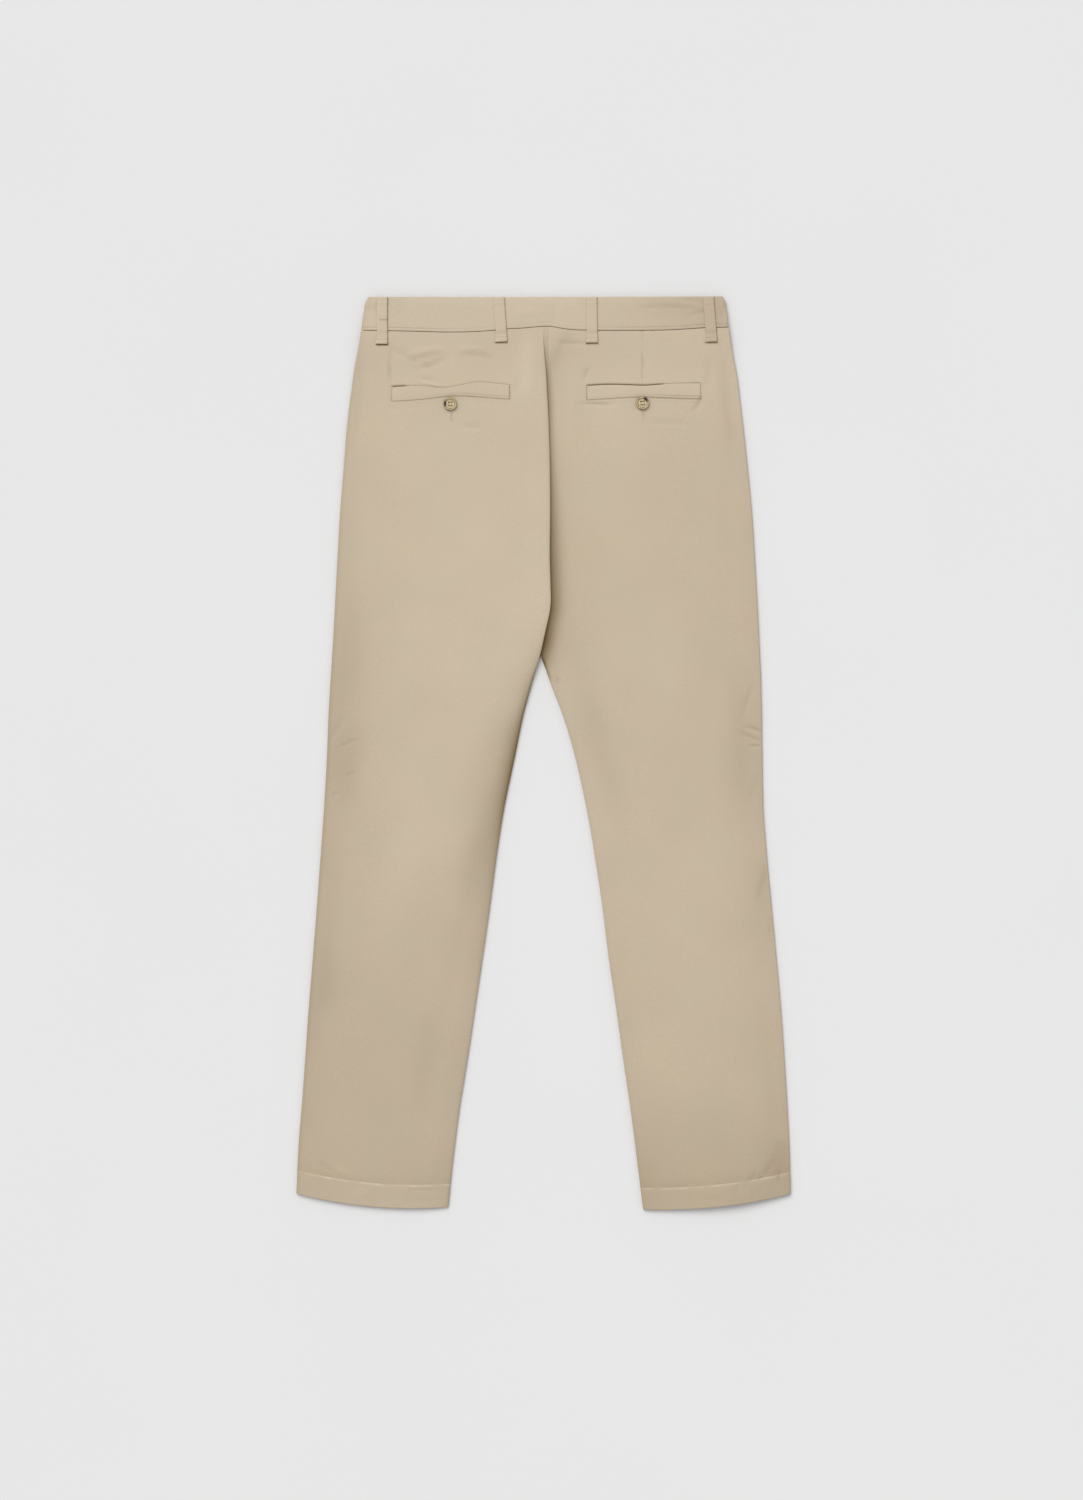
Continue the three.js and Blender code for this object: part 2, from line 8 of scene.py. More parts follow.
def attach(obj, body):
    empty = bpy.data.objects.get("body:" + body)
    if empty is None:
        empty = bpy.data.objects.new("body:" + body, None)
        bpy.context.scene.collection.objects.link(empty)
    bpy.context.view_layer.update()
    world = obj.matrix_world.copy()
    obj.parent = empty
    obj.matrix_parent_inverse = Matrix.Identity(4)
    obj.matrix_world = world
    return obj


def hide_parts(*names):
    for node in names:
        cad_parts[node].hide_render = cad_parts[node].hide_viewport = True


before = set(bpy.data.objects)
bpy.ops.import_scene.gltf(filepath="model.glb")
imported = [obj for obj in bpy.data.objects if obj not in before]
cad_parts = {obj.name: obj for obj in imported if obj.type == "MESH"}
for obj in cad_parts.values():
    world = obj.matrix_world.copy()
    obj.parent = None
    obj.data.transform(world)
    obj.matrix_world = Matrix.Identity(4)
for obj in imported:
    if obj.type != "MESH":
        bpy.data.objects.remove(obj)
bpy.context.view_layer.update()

# Sizes below are in millimetres, on the frame of the solids: +X to the wearer's right, +Y to the
# waist, +Z up. Meshes are made in metres.
mm = 0.001
quarter = math.pi / 2

# The garment's main sizes and the heights of its layers, near those of the solids
cut = {
    "top": 525.5,
    "waist": 486.5,
    "bottom": -525.0,
    "crotch": 112.0,
    "seam": 2.3,  # side seams and inseams lie this high
    "side": 4.0,  # the seat side of a leg where its rolled edges begin
    "crown": 1.8,  # how far a leg swells between its edges
    "foldTop": 7.6,  # the left seat where it folds over the right one
    "foldRadius": 1.3,
    "seatAtWaist": 7.4,
    "flyMiddle": 3.0,
    "flyBottom": 290.0,
    "bandLift": 2.8,
    "bandStack": 5.8,
    "frontAtWaist": 3.2,
    "seamAtWaist": 5.6,
}
cloth = {"back": 0.7, "front": 0.6, "facing": 0.6, "band": 0.6, "loop": 0.6, "welt": 0.45}
hem = {
    "left": {"depth": 25.2, "sweep": 16.8, "lowest": 0.78, "rise": 1.6},
    "right": {"depth": 23.6, "sweep": 18.2, "lowest": 0.9, "rise": 0.0},
    "foldRadius": 0.45,
    "lifted": {"x": 214, "spread": 46, "height": 4.4},  # the part of the right hem off the surface
}

# Each leg's outline: its edges at a height, and how far the seat is tucked in at the fold
leftSections = [
    {"y": 486.5, "outer": -209.8, "inner": -0.2},
    {"y": 477, "outer": -211.2, "inner": -0.4},
    {"y": 467, "outer": -212.8, "inner": 0.0},
    {"y": 458, "outer": -214.6, "inner": 1.2, "tuck": 2},
    {"y": 439, "outer": -218.1, "inner": 3.0, "tuck": 6},
    {"y": 415, "outer": -221.3, "inner": 4.3, "tuck": 9},
    {"y": 395, "outer": -224, "inner": 5.4, "tuck": 12},
    {"y": 366, "outer": -227, "inner": 6.5, "tuck": 15},
    {"y": 337, "outer": -229.2, "inner": 7.3, "tuck": 17},
    {"y": 280, "outer": -233.8, "inner": 7.8, "tuck": 20},
    {"y": 222, "outer": -237.2, "inner": 7.4, "tuck": 20},
    {"y": 192, "outer": -238.8, "inner": 8.2, "tuck": 18},
    {"y": 172, "outer": -239.9, "inner": 8.4, "tuck": 15},
    {"y": 161, "outer": -240.4, "inner": 7.1, "tuck": 12},
    {"y": 146, "outer": -241.2, "inner": 3.7, "tuck": 9},
    {"y": 130, "outer": -242, "inner": 0.2, "tuck": 6},
    {"y": 112, "outer": -243.2, "inner": -3.9, "tuck": 3},
    {"y": 95, "outer": -244.2, "inner": -8.9, "tuck": 1},
    {"y": 78, "outer": -245.4, "inner": -13.8},
    {"y": 50, "outer": -247, "inner": -21.6},
    {"y": -8, "outer": -249.3, "inner": -33.8},
    {"y": -65, "outer": -252.6, "inner": -45.6},
    {"y": -123, "outer": -256.8, "inner": -54.6},
    {"y": -180, "outer": -261, "inner": -62.2},
    {"y": -238, "outer": -265.6, "inner": -70.6},
    {"y": -295, "outer": -270.2, "inner": -79},
    {"y": -353, "outer": -274.2, "inner": -87.6},
    {"y": -410, "outer": -277.8, "inner": -96.6},
    {"y": -468, "outer": -281.8, "inner": -103.8},
    {"y": -525, "outer": -284.3, "inner": -109.8},
]
rightSections = [
    {"y": 486.5, "outer": 213.4, "inner": -3.4},
    {"y": 477, "outer": 214.6, "inner": -3.8},
    {"y": 469, "outer": 215.8, "inner": -4.0},
    {"y": 458, "outer": 217.8, "inner": -4.4},
    {"y": 440, "outer": 221.6, "inner": -5.0},
    {"y": 395, "outer": 227.4, "inner": -6.4},
    {"y": 337, "outer": 233.8, "inner": -9.6},
    {"y": 280, "outer": 239.4, "inner": -11.4},
    {"y": 190, "outer": 245, "inner": -10},
    {"y": 150, "outer": 247.2, "inner": -7.5},
    {"y": 112, "outer": 248.9, "inner": -2.9},
    {"y": 95, "outer": 249.8, "inner": 3.2},
    {"y": 78, "outer": 250.3, "inner": 9.2},
    {"y": 50, "outer": 251, "inner": 20},
    {"y": 21, "outer": 251.4, "inner": 29.6},
    {"y": -8, "outer": 251.8, "inner": 37.4},
    {"y": -65, "outer": 253, "inner": 49.8},
    {"y": -123, "outer": 257.4, "inner": 59.8},
    {"y": -180, "outer": 262.8, "inner": 68.2},
    {"y": -238, "outer": 268.2, "inner": 75.4},
    {"y": -295, "outer": 273.2, "inner": 83.8},
    {"y": -353, "outer": 277.2, "inner": 91.8},
    {"y": -410, "outer": 280.2, "inner": 100.2},
    {"y": -468, "outer": 282.8, "inner": 107.6},
    {"y": -525, "outer": 284.3, "inner": 114.6},
]


def soft(start, end, value):
    t = np.clip((np.asarray(value, float) - start) / (end - start), 0, 1)
    return t * t * (3 - 2 * t)


def mix(a, b, t):
    return a + (b - a) * t


def bell(distance, width):
    return np.exp(-((distance / width) ** 2))


def smoothThrough(places, values, at):
    # a smooth curve through a few points, read at any places; places rise
    places, values = np.asarray(places, float), np.asarray(values, float)
    slopes = np.gradient(values, places)
    at = np.clip(at, places[0], places[-1])
    i = np.clip(np.searchsorted(places, at) - 1, 0, len(places) - 2)
    span = places[i + 1] - places[i]
    t = (at - places[i]) / span
    bend = t * (1 - t) ** 2 * span * slopes[i] - t * t * (1 - t) * span * slopes[i + 1]
    return mix(values[i], values[i + 1], t * t * (3 - 2 * t)) + bend


def columns(rows, *names):
    # what a row leaves out is 0
    rows = sorted(rows, key=lambda row: row[names[0]])
    return [np.array([row.get(name, 0) for row in rows]) for name in names]


def line(side, name, y):
    return smoothThrough(*columns(leftSections if side == "left" else rightSections, "y", name), y)


# The seam under the waistband dips and peaks a little along its length: rise is from the waist line.
waistSeam = [
    {"x": -215, "rise": -0.6}, {"x": -178, "rise": -1.2}, {"x": -142, "rise": -2.0},
    {"x": -105, "rise": -2.8}, {"x": -73, "rise": -1.9}, {"x": -54, "rise": -0.5},
    {"x": -43, "rise": 0.9}, {"x": -27, "rise": 1.6}, {"x": -10, "rise": 3.1},
    {"x": 0, "rise": 3.9}, {"x": 8, "rise": 3.8}, {"x": 19, "rise": 1.9},
    {"x": 31, "rise": 0.3}, {"x": 50, "rise": -0.6}, {"x": 63, "rise": -0.8},
    {"x": 114, "rise": -0.8}, {"x": 140, "rise": -0.4}, {"x": 166, "rise": 0.9},
    {"x": 187, "rise": 2.3}, {"x": 201, "rise": 2.6}, {"x": 216, "rise": 3.0},
]
waistSeamPlaces, waistSeamRise = columns(waistSeam, "x", "rise")


def seamRise(x):
    return smoothThrough(waistSeamPlaces, waistSeamRise, x)


def sweep(side, y, x, share, isBack):
    # how far a point of a flat row moves along Y: the hem rises to its outer corner, and the seat
    # follows the seam under the waistband
    h = hem[side]
    lift = (h["sweep"] * (1 - share / h["lowest"]) ** 2 + h["rise"]) * soft(330, 500, -y)
    if isBack:
        lift = lift + seamRise(x) * soft(cut["waist"] - 40, cut["waist"], y)
    return lift


# Heights of the layers: the middle of each wall of cloth
def frontLift(y):
    return cut["frontAtWaist"] * soft(cut["waist"] - 36, cut["waist"], y)


def seamHeight(y):
    return mix(cut["seam"], cut["seamAtWaist"], soft(cut["waist"] - 50, cut["waist"], y))


def sideHeight(y):
    return mix(cut["side"], cut["seatAtWaist"], soft(cut["waist"] - 56, cut["waist"], y))


def swell(y, share):
    dome = 1 - np.abs(2 * np.clip(share, 0, 1) - 1) ** 4
    flatter = 1 - 0.25 * soft(380, 500, -y)
    return cut["crown"] * dome * soft(cut["waist"] - 16, cut["waist"] - 76, y) * flatter


def underFold(y):
    # the right seat where the left one covers it
    low = mix(2.2, 3.3, soft(300, 400, y)) + frontLift(y + 5.5)
    return low + 0.9 * soft(cut["waist"] - 30, cut["waist"], y)


def backHeight(side, y, x):
    outer, inner = line(side, "outer", y), line(side, "inner", y)
    share = np.clip((x - outer) / (inner - outer), 0, 1)
    domed = sideHeight(y) + swell(y, share)
    if side == "left":
        seat = mix(cut["foldTop"], cut["seatAtWaist"], soft(cut["waist"] - 66, cut["waist"] - 16, y))
        edge = mix(3.1, seat, soft(0, cut["crotch"], y))
        begin = mix(0.74, 0.84, soft(cut["crotch"], 20, y))
        return domed + (edge - sideHeight(y)) * soft(0, 1, (share - begin) / (0.99 - begin))
    fold = line("left", "inner", y)
    near, far = mix(8, -4, soft(290, 380, y)), mix(46, 18, soft(290, 380, y))
    near, far = mix(near, -5, soft(400, 450, y)), mix(far, 6, soft(400, 450, y))
    covered = soft(0, 1, (x - fold - near) / (far - near))
    inSeat = soft(cut["crotch"] - 34, cut["crotch"] + 2, y)
    return mix(domed, mix(underFold(y), domed, covered), inSeat)


# Creases: soft troughs (rise under 0) and ridges along a short line. turn is the line's angle from
# +X in degrees, width its half width, and bow, where it has one, how far its middle bends aside.
seatCreases = [
    {"x": -175, "y": 448, "turn": 87, "length": 40, "width": 2.0, "rise": -0.45, "bow": 1},
    {"x": -177, "y": 436, "turn": 93, "length": 26, "width": 1.6, "rise": -0.5, "bow": -1},
    {"x": -160, "y": 458, "turn": -24, "length": 30, "width": 2.6, "rise": -0.5},
    {"x": -138, "y": 460, "turn": 10, "length": 44, "width": 3.0, "rise": 0.45, "bow": 2},
    {"x": -136, "y": 455, "turn": 14, "length": 38, "width": 2.0, "rise": -0.6, "bow": 1},
    {"x": -126, "y": 449, "turn": 22, "length": 30, "width": 2.2, "rise": -0.55, "bow": -1},
    {"x": -137, "y": 443, "turn": 8, "length": 24, "width": 2.2, "rise": -0.4, "bow": 1},
    {"x": -76, "y": 457, "turn": -6, "length": 36, "width": 2.8, "rise": -0.6, "bow": 1.5},
    {"x": -84, "y": 464, "turn": -4, "length": 30, "width": 3.0, "rise": 0.35},
    {"x": -138, "y": 430, "turn": -8, "length": 26, "width": 1.6, "rise": -0.35},
    {"x": -128, "y": 424, "turn": -14, "length": 20, "width": 1.6, "rise": 0.5},
    {"x": -82, "y": 376, "turn": 3, "length": 22, "width": 1.8, "rise": -0.5},
    {"x": -18, "y": 440, "turn": 86, "length": 70, "width": 9, "rise": 0.6},
    {"x": -30, "y": 424, "turn": 70, "length": 24, "width": 2.6, "rise": -0.3},
    {"x": 23, "y": 464, "turn": 66, "length": 40, "width": 5.0, "rise": -0.34, "bow": 3},
    {"x": 14, "y": 436, "turn": 96, "length": 60, "width": 6.5, "rise": -0.2},
    {"x": 33, "y": 471, "turn": -2, "length": 34, "width": 2.6, "rise": -0.4},
    {"x": 51, "y": 436, "turn": 66, "length": 18, "width": 1.8, "rise": -0.6, "bow": 2},
    {"x": 60, "y": 401, "turn": -2, "length": 40, "width": 2.0, "rise": -0.45},
    {"x": 176, "y": 401, "turn": 56, "length": 22, "width": 2.6, "rise": -0.75, "bow": -2},
    {"x": 143, "y": 380, "turn": 1, "length": 46, "width": 2.2, "rise": -0.45, "bow": 1},
    {"x": 190, "y": 436, "turn": 80, "length": 40, "width": 5, "rise": -0.35},
    {"x": 212, "y": 400, "turn": 96, "length": 120, "width": 7, "rise": -0.6},
    {"x": -213, "y": 400, "turn": 84, "length": 120, "width": 6, "rise": -0.4},
    {"x": -11, "y": 251, "turn": 4, "length": 5, "width": 0.9, "rise": -0.5},
]
legWaves = [
    {"x": -220, "y": 8, "turn": 84, "length": 130, "width": 15, "rise": -0.8, "bow": 3},
    {"x": -238, "y": 60, "turn": 88, "length": 160, "width": 7, "rise": 0.6},
    {"x": -150, "y": 60, "turn": 82, "length": 230, "width": 30, "rise": 0.6},
    {"x": -58, "y": 0, "turn": 71, "length": 190, "width": 15, "rise": -0.9},
    {"x": -92, "y": -30, "turn": 75, "length": 260, "width": 24, "rise": 0.6},
    {"x": -50, "y": 230, "turn": 93, "length": 200, "width": 22, "rise": 0.5},
    {"x": -20, "y": 300, "turn": 88, "length": 200, "width": 8, "rise": -0.35},
    {"x": -120, "y": 260, "turn": 88, "length": 260, "width": 46, "rise": 0.5},
    {"x": -215, "y": 230, "turn": 87, "length": 240, "width": 12, "rise": -0.7},
    {"x": -150, "y": -215, "turn": 78, "length": 230, "width": 34, "rise": 0.7},
    {"x": -92, "y": -210, "turn": 78, "length": 220, "width": 12, "rise": -0.8},
    {"x": -245, "y": -240, "turn": 82, "length": 220, "width": 11, "rise": -0.9},
    {"x": -128, "y": -400, "turn": 80, "length": 190, "width": 13, "rise": -0.5},
    {"x": -190, "y": -430, "turn": 82, "length": 150, "width": 28, "rise": 0.5},
    {"x": 231, "y": 10, "turn": 92, "length": 150, "width": 13, "rise": -0.9, "bow": -3},
    {"x": 205, "y": 20, "turn": 91, "length": 220, "width": 12, "rise": 0.5},
    {"x": 160, "y": 50, "turn": 90, "length": 250, "width": 34, "rise": 0.6},
    {"x": 58, "y": 60, "turn": 112, "length": 150, "width": 14, "rise": -0.8},
    {"x": 100, "y": 240, "turn": 90, "length": 240, "width": 40, "rise": 0.5},
    {"x": 214, "y": 250, "turn": 91, "length": 240, "width": 12, "rise": -0.7},
    {"x": 165, "y": -210, "turn": 98, "length": 240, "width": 34, "rise": 0.7},
    {"x": 248, "y": -150, "turn": 98, "length": 160, "width": 10, "rise": -0.9},
    {"x": 98, "y": -250, "turn": 100, "length": 240, "width": 12, "rise": -0.6},
    {"x": 185, "y": -430, "turn": 98, "length": 150, "width": 28, "rise": 0.5},
    {"x": 264, "y": -370, "turn": 94, "length": 200, "width": 10, "rise": -1.0},
]
seamPuckers = [
    {"x": 236, "y": 62, "turn": 70, "length": 36, "width": 3, "rise": -0.6},
    {"x": 243, "y": 26, "turn": -18, "length": 24, "width": 2, "rise": -0.8, "bow": 1},
    {"x": 238, "y": 18, "turn": -24, "length": 28, "width": 2.2, "rise": -0.7},
    {"x": 244, "y": 8, "turn": 4, "length": 14, "width": 1.6, "rise": -0.7},
    {"x": 244, "y": -40, "turn": 70, "length": 40, "width": 4, "rise": -0.3},
    {"x": 254, "y": -148, "turn": 74, "length": 50, "width": 4, "rise": -0.6},
    {"x": 262, "y": -200, "turn": 84, "length": 30, "width": 3, "rise": -0.4},
    {"x": -219, "y": 13.8, "turn": 6, "length": 14, "width": 1.1, "rise": -0.5},
    {"x": -227.7, "y": 9.2, "turn": 14, "length": 11, "width": 1.1, "rise": -0.55, "bow": 0.5},
    {"x": -221, "y": -24, "turn": 16, "length": 12, "width": 1.1, "rise": -0.5},
    {"x": -240, "y": -48, "turn": 40, "length": 9, "width": 1.1, "rise": -0.5},
    {"x": -238, "y": 26, "turn": 60, "length": 30, "width": 3, "rise": -0.4},
    {"x": 240, "y": -490, "turn": 60, "length": 16, "width": 3, "rise": -0.5},
    {"x": 252, "y": -486, "turn": 50, "length": 18, "width": 2.2, "rise": -0.6},
    {"x": 260, "y": -477, "turn": 62, "length": 20, "width": 2.4, "rise": -0.8},
    {"x": 271, "y": -488, "turn": 84, "length": 13, "width": 1.8, "rise": -0.6},
    {"x": 222, "y": -502, "turn": 68, "length": 13, "width": 2.6, "rise": -0.35},
    {"x": 236, "y": -504, "turn": 84, "length": 12, "width": 2.4, "rise": 0.35},
    {"x": 250, "y": -503, "turn": 62, "length": 11, "width": 2.2, "rise": -0.35},
    {"x": 196, "y": -512, "turn": 6, "length": 26, "width": 2.2, "rise": -0.3},
    {"x": -134, "y": -502, "turn": 1, "length": 46, "width": 1.8, "rise": -0.35},
    {"x": -142, "y": -515, "turn": 2, "length": 36, "width": 2.0, "rise": -0.3},
    {"x": -206, "y": -506, "turn": 12, "length": 22, "width": 3.0, "rise": 0.3},
    {"x": -226, "y": -484, "turn": -20, "length": 26, "width": 2.6, "rise": 0.6},
    {"x": -250, "y": -476, "turn": -30, "length": 22, "width": 2.6, "rise": -0.5},
]


def creaseRise(x, y, creases):
    total = np.zeros(np.broadcast(x, y).shape)
    for c in creases:
        turn = math.radians(c["turn"])
        along = (x - c["x"]) * math.cos(turn) + (y - c["y"]) * math.sin(turn)
        aside = -(x - c["x"]) * math.sin(turn) + (y - c["y"]) * math.cos(turn)
        reach = along / (c["length"] / 2)
        aside = aside - c.get("bow", 0) * (1 - np.clip(reach, -1, 1) ** 2)
        total += c["rise"] * bell(aside, c["width"]) * np.exp(-(reach**4) * 1.2)
    return total


# How much painted shade darkens the cloth, and below 0 how much painted light makes it paler: darker down to
# the hems and along the side seams. mid is the whole leg at that height, outer and inner are what its edges
# have on top, and valley is the painted shadow on the right seat beside the fold.
paintedShadeRows = {
    "left": [
        {"y": 486, "mid": 0.0, "outer": 0.0, "inner": 0.0},
        {"y": 300, "mid": -0.01, "outer": 0.1, "inner": 0.0},
        {"y": 222, "mid": -0.02, "outer": 0.16, "inner": 0.0},
        {"y": 150, "mid": -0.02, "outer": 0.19, "inner": 0.02},
        {"y": 100, "mid": -0.01, "outer": 0.2, "inner": 0.3},
        {"y": 60, "mid": 0.01, "outer": 0.21, "inner": 0.64},
        {"y": 15, "mid": 0.01, "outer": 0.23, "inner": 0.8},
        {"y": -10, "mid": 0.01, "outer": 0.23, "inner": 0.82},
        {"y": -54, "mid": 0.01, "outer": 0.2, "inner": 0.74},
        {"y": -110, "mid": 0.02, "outer": 0.18, "inner": 0.48},
        {"y": -169, "mid": 0.04, "outer": 0.16, "inner": 0.28},
        {"y": -284, "mid": 0.09, "outer": 0.15, "inner": 0.1},
        {"y": -399, "mid": 0.135, "outer": 0.07, "inner": 0.04},
        {"y": -500, "mid": 0.16, "outer": 0.06, "inner": 0.07},
    ],
    "right": [
        {"y": 486, "mid": 0.0, "outer": 0.03, "inner": 0.0, "valley": 0.06},
        {"y": 463, "mid": 0.0, "outer": 0.03, "inner": 0.0, "valley": 0.22},
        {"y": 440, "mid": 0.0, "outer": 0.04, "inner": 0.0, "valley": 0.42},
        {"y": 406, "mid": 0.0, "outer": 0.05, "inner": 0.0, "valley": 0.5},
        {"y": 371, "mid": 0.01, "outer": 0.06, "inner": 0.0, "valley": 0.38},
        {"y": 291, "mid": 0.04, "outer": 0.05, "inner": 0.0, "valley": 0.5},
        {"y": 222, "mid": 0.04, "outer": 0.07, "inner": 0.0, "valley": 0.66},
        {"y": 150, "mid": 0.04, "outer": 0.08, "inner": 0.02, "valley": 0.74},
        {"y": 125, "mid": 0.04, "outer": 0.08, "inner": 0.03, "valley": 0.82},
        {"y": 106, "mid": 0.045, "outer": 0.08, "inner": 0.03, "valley": 0.64},
        {"y": 85, "mid": 0.045, "outer": 0.09, "inner": 0.05},
        {"y": 0, "mid": 0.045, "outer": 0.15, "inner": 0.04},
        {"y": -54, "mid": 0.045, "outer": 0.12, "inner": 0.04},
        {"y": -169, "mid": 0.045, "outer": 0.11, "inner": 0.04},
        {"y": -284, "mid": 0.07, "outer": 0.08, "inner": 0.04},
        {"y": -399, "mid": 0.105, "outer": 0.11, "inner": 0.05},
        {"y": -500, "mid": 0.24, "outer": 0.1, "inner": 0.06},
    ],
}
# Patches and lines of painted shade, and where rise is below 0 painted light, on the legs and seat, beside
# the seams and at the crotch
paintedShadePatches = [
    {"x": -221, "y": -12, "turn": 82, "length": 100, "width": 15, "rise": 0.1},
    {"x": -217, "y": 130, "turn": 88, "length": 120, "width": 14, "rise": 0.055},
    {"x": -247, "y": -261, "turn": 84, "length": 80, "width": 13, "rise": 0.06},
    {"x": -138, "y": -350, "turn": 82, "length": 110, "width": 14, "rise": 0.045},
    {"x": -75, "y": -90, "turn": 76, "length": 130, "width": 14, "rise": 0.06},
    {"x": -152, "y": -60, "turn": 80, "length": 260, "width": 22, "rise": -0.03},
    {"x": -137, "y": 452, "turn": 12, "length": 50, "width": 7, "rise": 0.035},
    {"x": -76, "y": 456, "turn": 0, "length": 40, "width": 4, "rise": 0.04},
    {"x": 22, "y": 462, "turn": 60, "length": 46, "width": 9, "rise": 0.06},
    {"x": 228, "y": 10, "turn": 92, "length": 150, "width": 14, "rise": 0.05},
    {"x": 30, "y": 400, "turn": 88, "length": 90, "width": 8, "rise": -0.03},
    {"x": 252, "y": -148, "turn": 90, "length": 60, "width": 7, "rise": 0.06},
    {"x": 270, "y": -466, "turn": 80, "length": 44, "width": 11, "rise": 0.09},
    {"x": 5.2, "y": 470, "turn": 90, "length": 34, "width": 0.8, "rise": 0.1},
    {"x": 6.8, "y": 470, "turn": 90, "length": 34, "width": 0.8, "rise": -0.1},
    {"x": 113.2, "y": 458, "turn": 90, "length": 72, "width": 0.8, "rise": 0.2},
    {"x": 15.5, "y": 84, "turn": 60, "length": 7, "width": 2.2, "rise": 0.2},
    {"x": 66, "y": 4, "turn": 105.5, "length": 190, "width": 17, "rise": 0.075},
    {"x": -187, "y": 506, "turn": 90, "length": 30, "width": 2.0, "rise": 0.1},
]


# How far the painted shade reaches from a leg's edges and from the fold, in millimetres, and how strong the
# painted shade is that paintedShadeRows doesn't give
paintedShadeReach = {
    "outer": 40, "inner": 13, "innerAtShin": 28, "rim": 3.0, "foldedRim": 2.8,
    "crotch": 2.6, "crotchWide": 14, "fold": 12, "foldAtPocket": 5.5, "foldWide": 48,
}
paintedShadeStrength = {
    "rim": 0.12, "foldedRim": 0.11, "rightRim": 0.05, "crotch": 0.36, "crotchWide": 0.07,
    "fold": 0.87, "foldWide": 0.13, "crease": 0.11, "pucker": 0.4,
}


# The painted shade of a point of a leg's cloth, and below 0 its painted light
def paintedShadeOf(side, x, y, share, width):
    places, mid, outer, inner, valley = columns(paintedShadeRows[side], "y", "mid", "outer", "inner", "valley")
    reach, strong = paintedShadeReach, paintedShadeStrength
    fromOuter, fromInner = share * width, (1 - share) * width
    tone = smoothThrough(places, mid, y)
    tone = tone + smoothThrough(places, outer, y) * np.exp(-fromOuter / reach["outer"])
    innerReach = mix(reach["inner"], reach["innerAtShin"], soft(-50, -169, y)) - 5 * soft(10, 61, y)
    tone = tone + smoothThrough(places, inner, y) * np.exp(-fromInner / innerReach)
    # painted shade on the rims, and the painted short shadow of the crotch on the right leg's inner edge
    if side == "left":
        belowBand = soft(cut["waist"] - 20, 440, y)
        tone = tone + strong["rim"] * bell(fromOuter, reach["rim"])
        tone = tone + strong["foldedRim"] * bell(fromInner, reach["foldedRim"]) * belowBand
    else:
        atCrotch = soft(80, 90, y) * soft(114, 104, y)
        shadow = strong["crotch"] * bell(fromInner, reach["crotch"])
        shadow = shadow + strong["crotchWide"] * bell(fromInner, reach["crotchWide"])
        tone = tone + strong["rightRim"] * bell(fromInner, reach["rim"]) + atCrotch * shadow
    # painted shadow on the right seat beside the fold
    fromFold = np.maximum(x - line("left", "inner", y), 0)
    narrow = bell(fromFold, mix(reach["fold"], reach["foldAtPocket"], soft(190, 400, y)))
    besideFold = strong["fold"] * narrow + strong["foldWide"] * bell(fromFold, reach["foldWide"])
    tone = tone + smoothThrough(places, valley, y) * besideFold
    # painted shade in the creases' troughs, and painted light on their ridges
    creased = creaseRise(x, y, seatCreases) + strong["pucker"] * creaseRise(x, y, seamPuckers)
    return tone + creaseRise(x, y, paintedShadePatches) - strong["crease"] * creased


# Back pockets: the welt's lower and upper edges, the open stretch of its mouth and how far it gapes,
# its button, and where its lower edge is sewn tightest. The right mouth opens a little once more.
pockets = {
    "left": {
        "edges": [
            {"x": -174.8, "low": 404.2, "high": 421.3}, {"x": -157, "low": 405.1, "high": 422.2},
            {"x": -136, "low": 406.9, "high": 422.2}, {"x": -122.5, "low": 408.6, "high": 420.4},
            {"x": -107.5, "low": 410.3, "high": 420.6}, {"x": -93.7, "low": 410.5, "high": 423.4},
            {"x": -75.3, "low": 409.4, "high": 426.6}, {"x": -55.8, "low": 407.8, "high": 425.2},
            {"x": -38.8, "low": 406.6, "high": 423.3},
        ],
        "mouth": (-174, -158), "gape": 1.0, "button": (-107.2, 401.2), "tight": (-100, 30),
    },
    "right": {
        "edges": [
            {"x": 49.6, "low": 405.8, "high": 422.6}, {"x": 73, "low": 407.2, "high": 423.8},
            {"x": 99.5, "low": 408.8, "high": 423.3}, {"x": 114.4, "low": 409.1, "high": 422.8},
            {"x": 138.6, "low": 408.4, "high": 424.3}, {"x": 162.7, "low": 407.6, "high": 425.2},
            {"x": 181.2, "low": 407.2, "high": 425.4},
        ],
        "mouth": (50, 138), "gape": 0.8, "button": (113.8, 402.2), "tight": (142, 55), "again": (165, 181),
    },
}
buttonhole = {"aside": 0.9, "from": 9.6, "to": 17.2, "tone": 0.16}
pocketRelief = {"inside": 0.9, "mouth": 1.3, "lip": 0.25, "brow": 0.12}
# painted shade in the pockets' mouths and along their sewn lower edges and ends
pocketPaintedShade = {
    "closed": 0.06, "open": 0.8, "again": 0.4, "under": 0.18, "tight": 0.22, "first": 0.16, "last": 0.26,
}


def pocketLines(side, x):
    places, low, high = columns(pockets[side]["edges"], "x", "low", "high")
    return smoothThrough(places, low, x), smoothThrough(places, high, x)


def pocketReach(side):
    return pockets[side]["edges"][0]["x"], pockets[side]["edges"][-1]["x"]


def pocketEnds(side, x, width):
    first, last = pocketReach(side)
    return soft(first - width, first + 0.4, x) * soft(last + width, last - 0.4, x)


def mouthOpen(side, x):
    start, end = pockets[side]["mouth"]
    return soft(start - 2, start + 2, x) * soft(end + 3, end - 3, x)


# painted shade in the slit of a welt's mouth, deepest where it gapes
def mouthPaintedShade(side, x):
    tone = pocketPaintedShade["closed"] + pocketPaintedShade["open"] * mouthOpen(side, x)
    if side == "right":
        start, end = pockets[side]["again"]
        tone = tone + pocketPaintedShade["again"] * soft(start, start + 4, x) * soft(end, end - 3, x)
    return tone


def sewnTight(side, x):
    # where along a welt its lower edge is drawn in most, from 0 to 1
    middle, spread = pockets[side]["tight"]
    return bell(x - middle, spread)


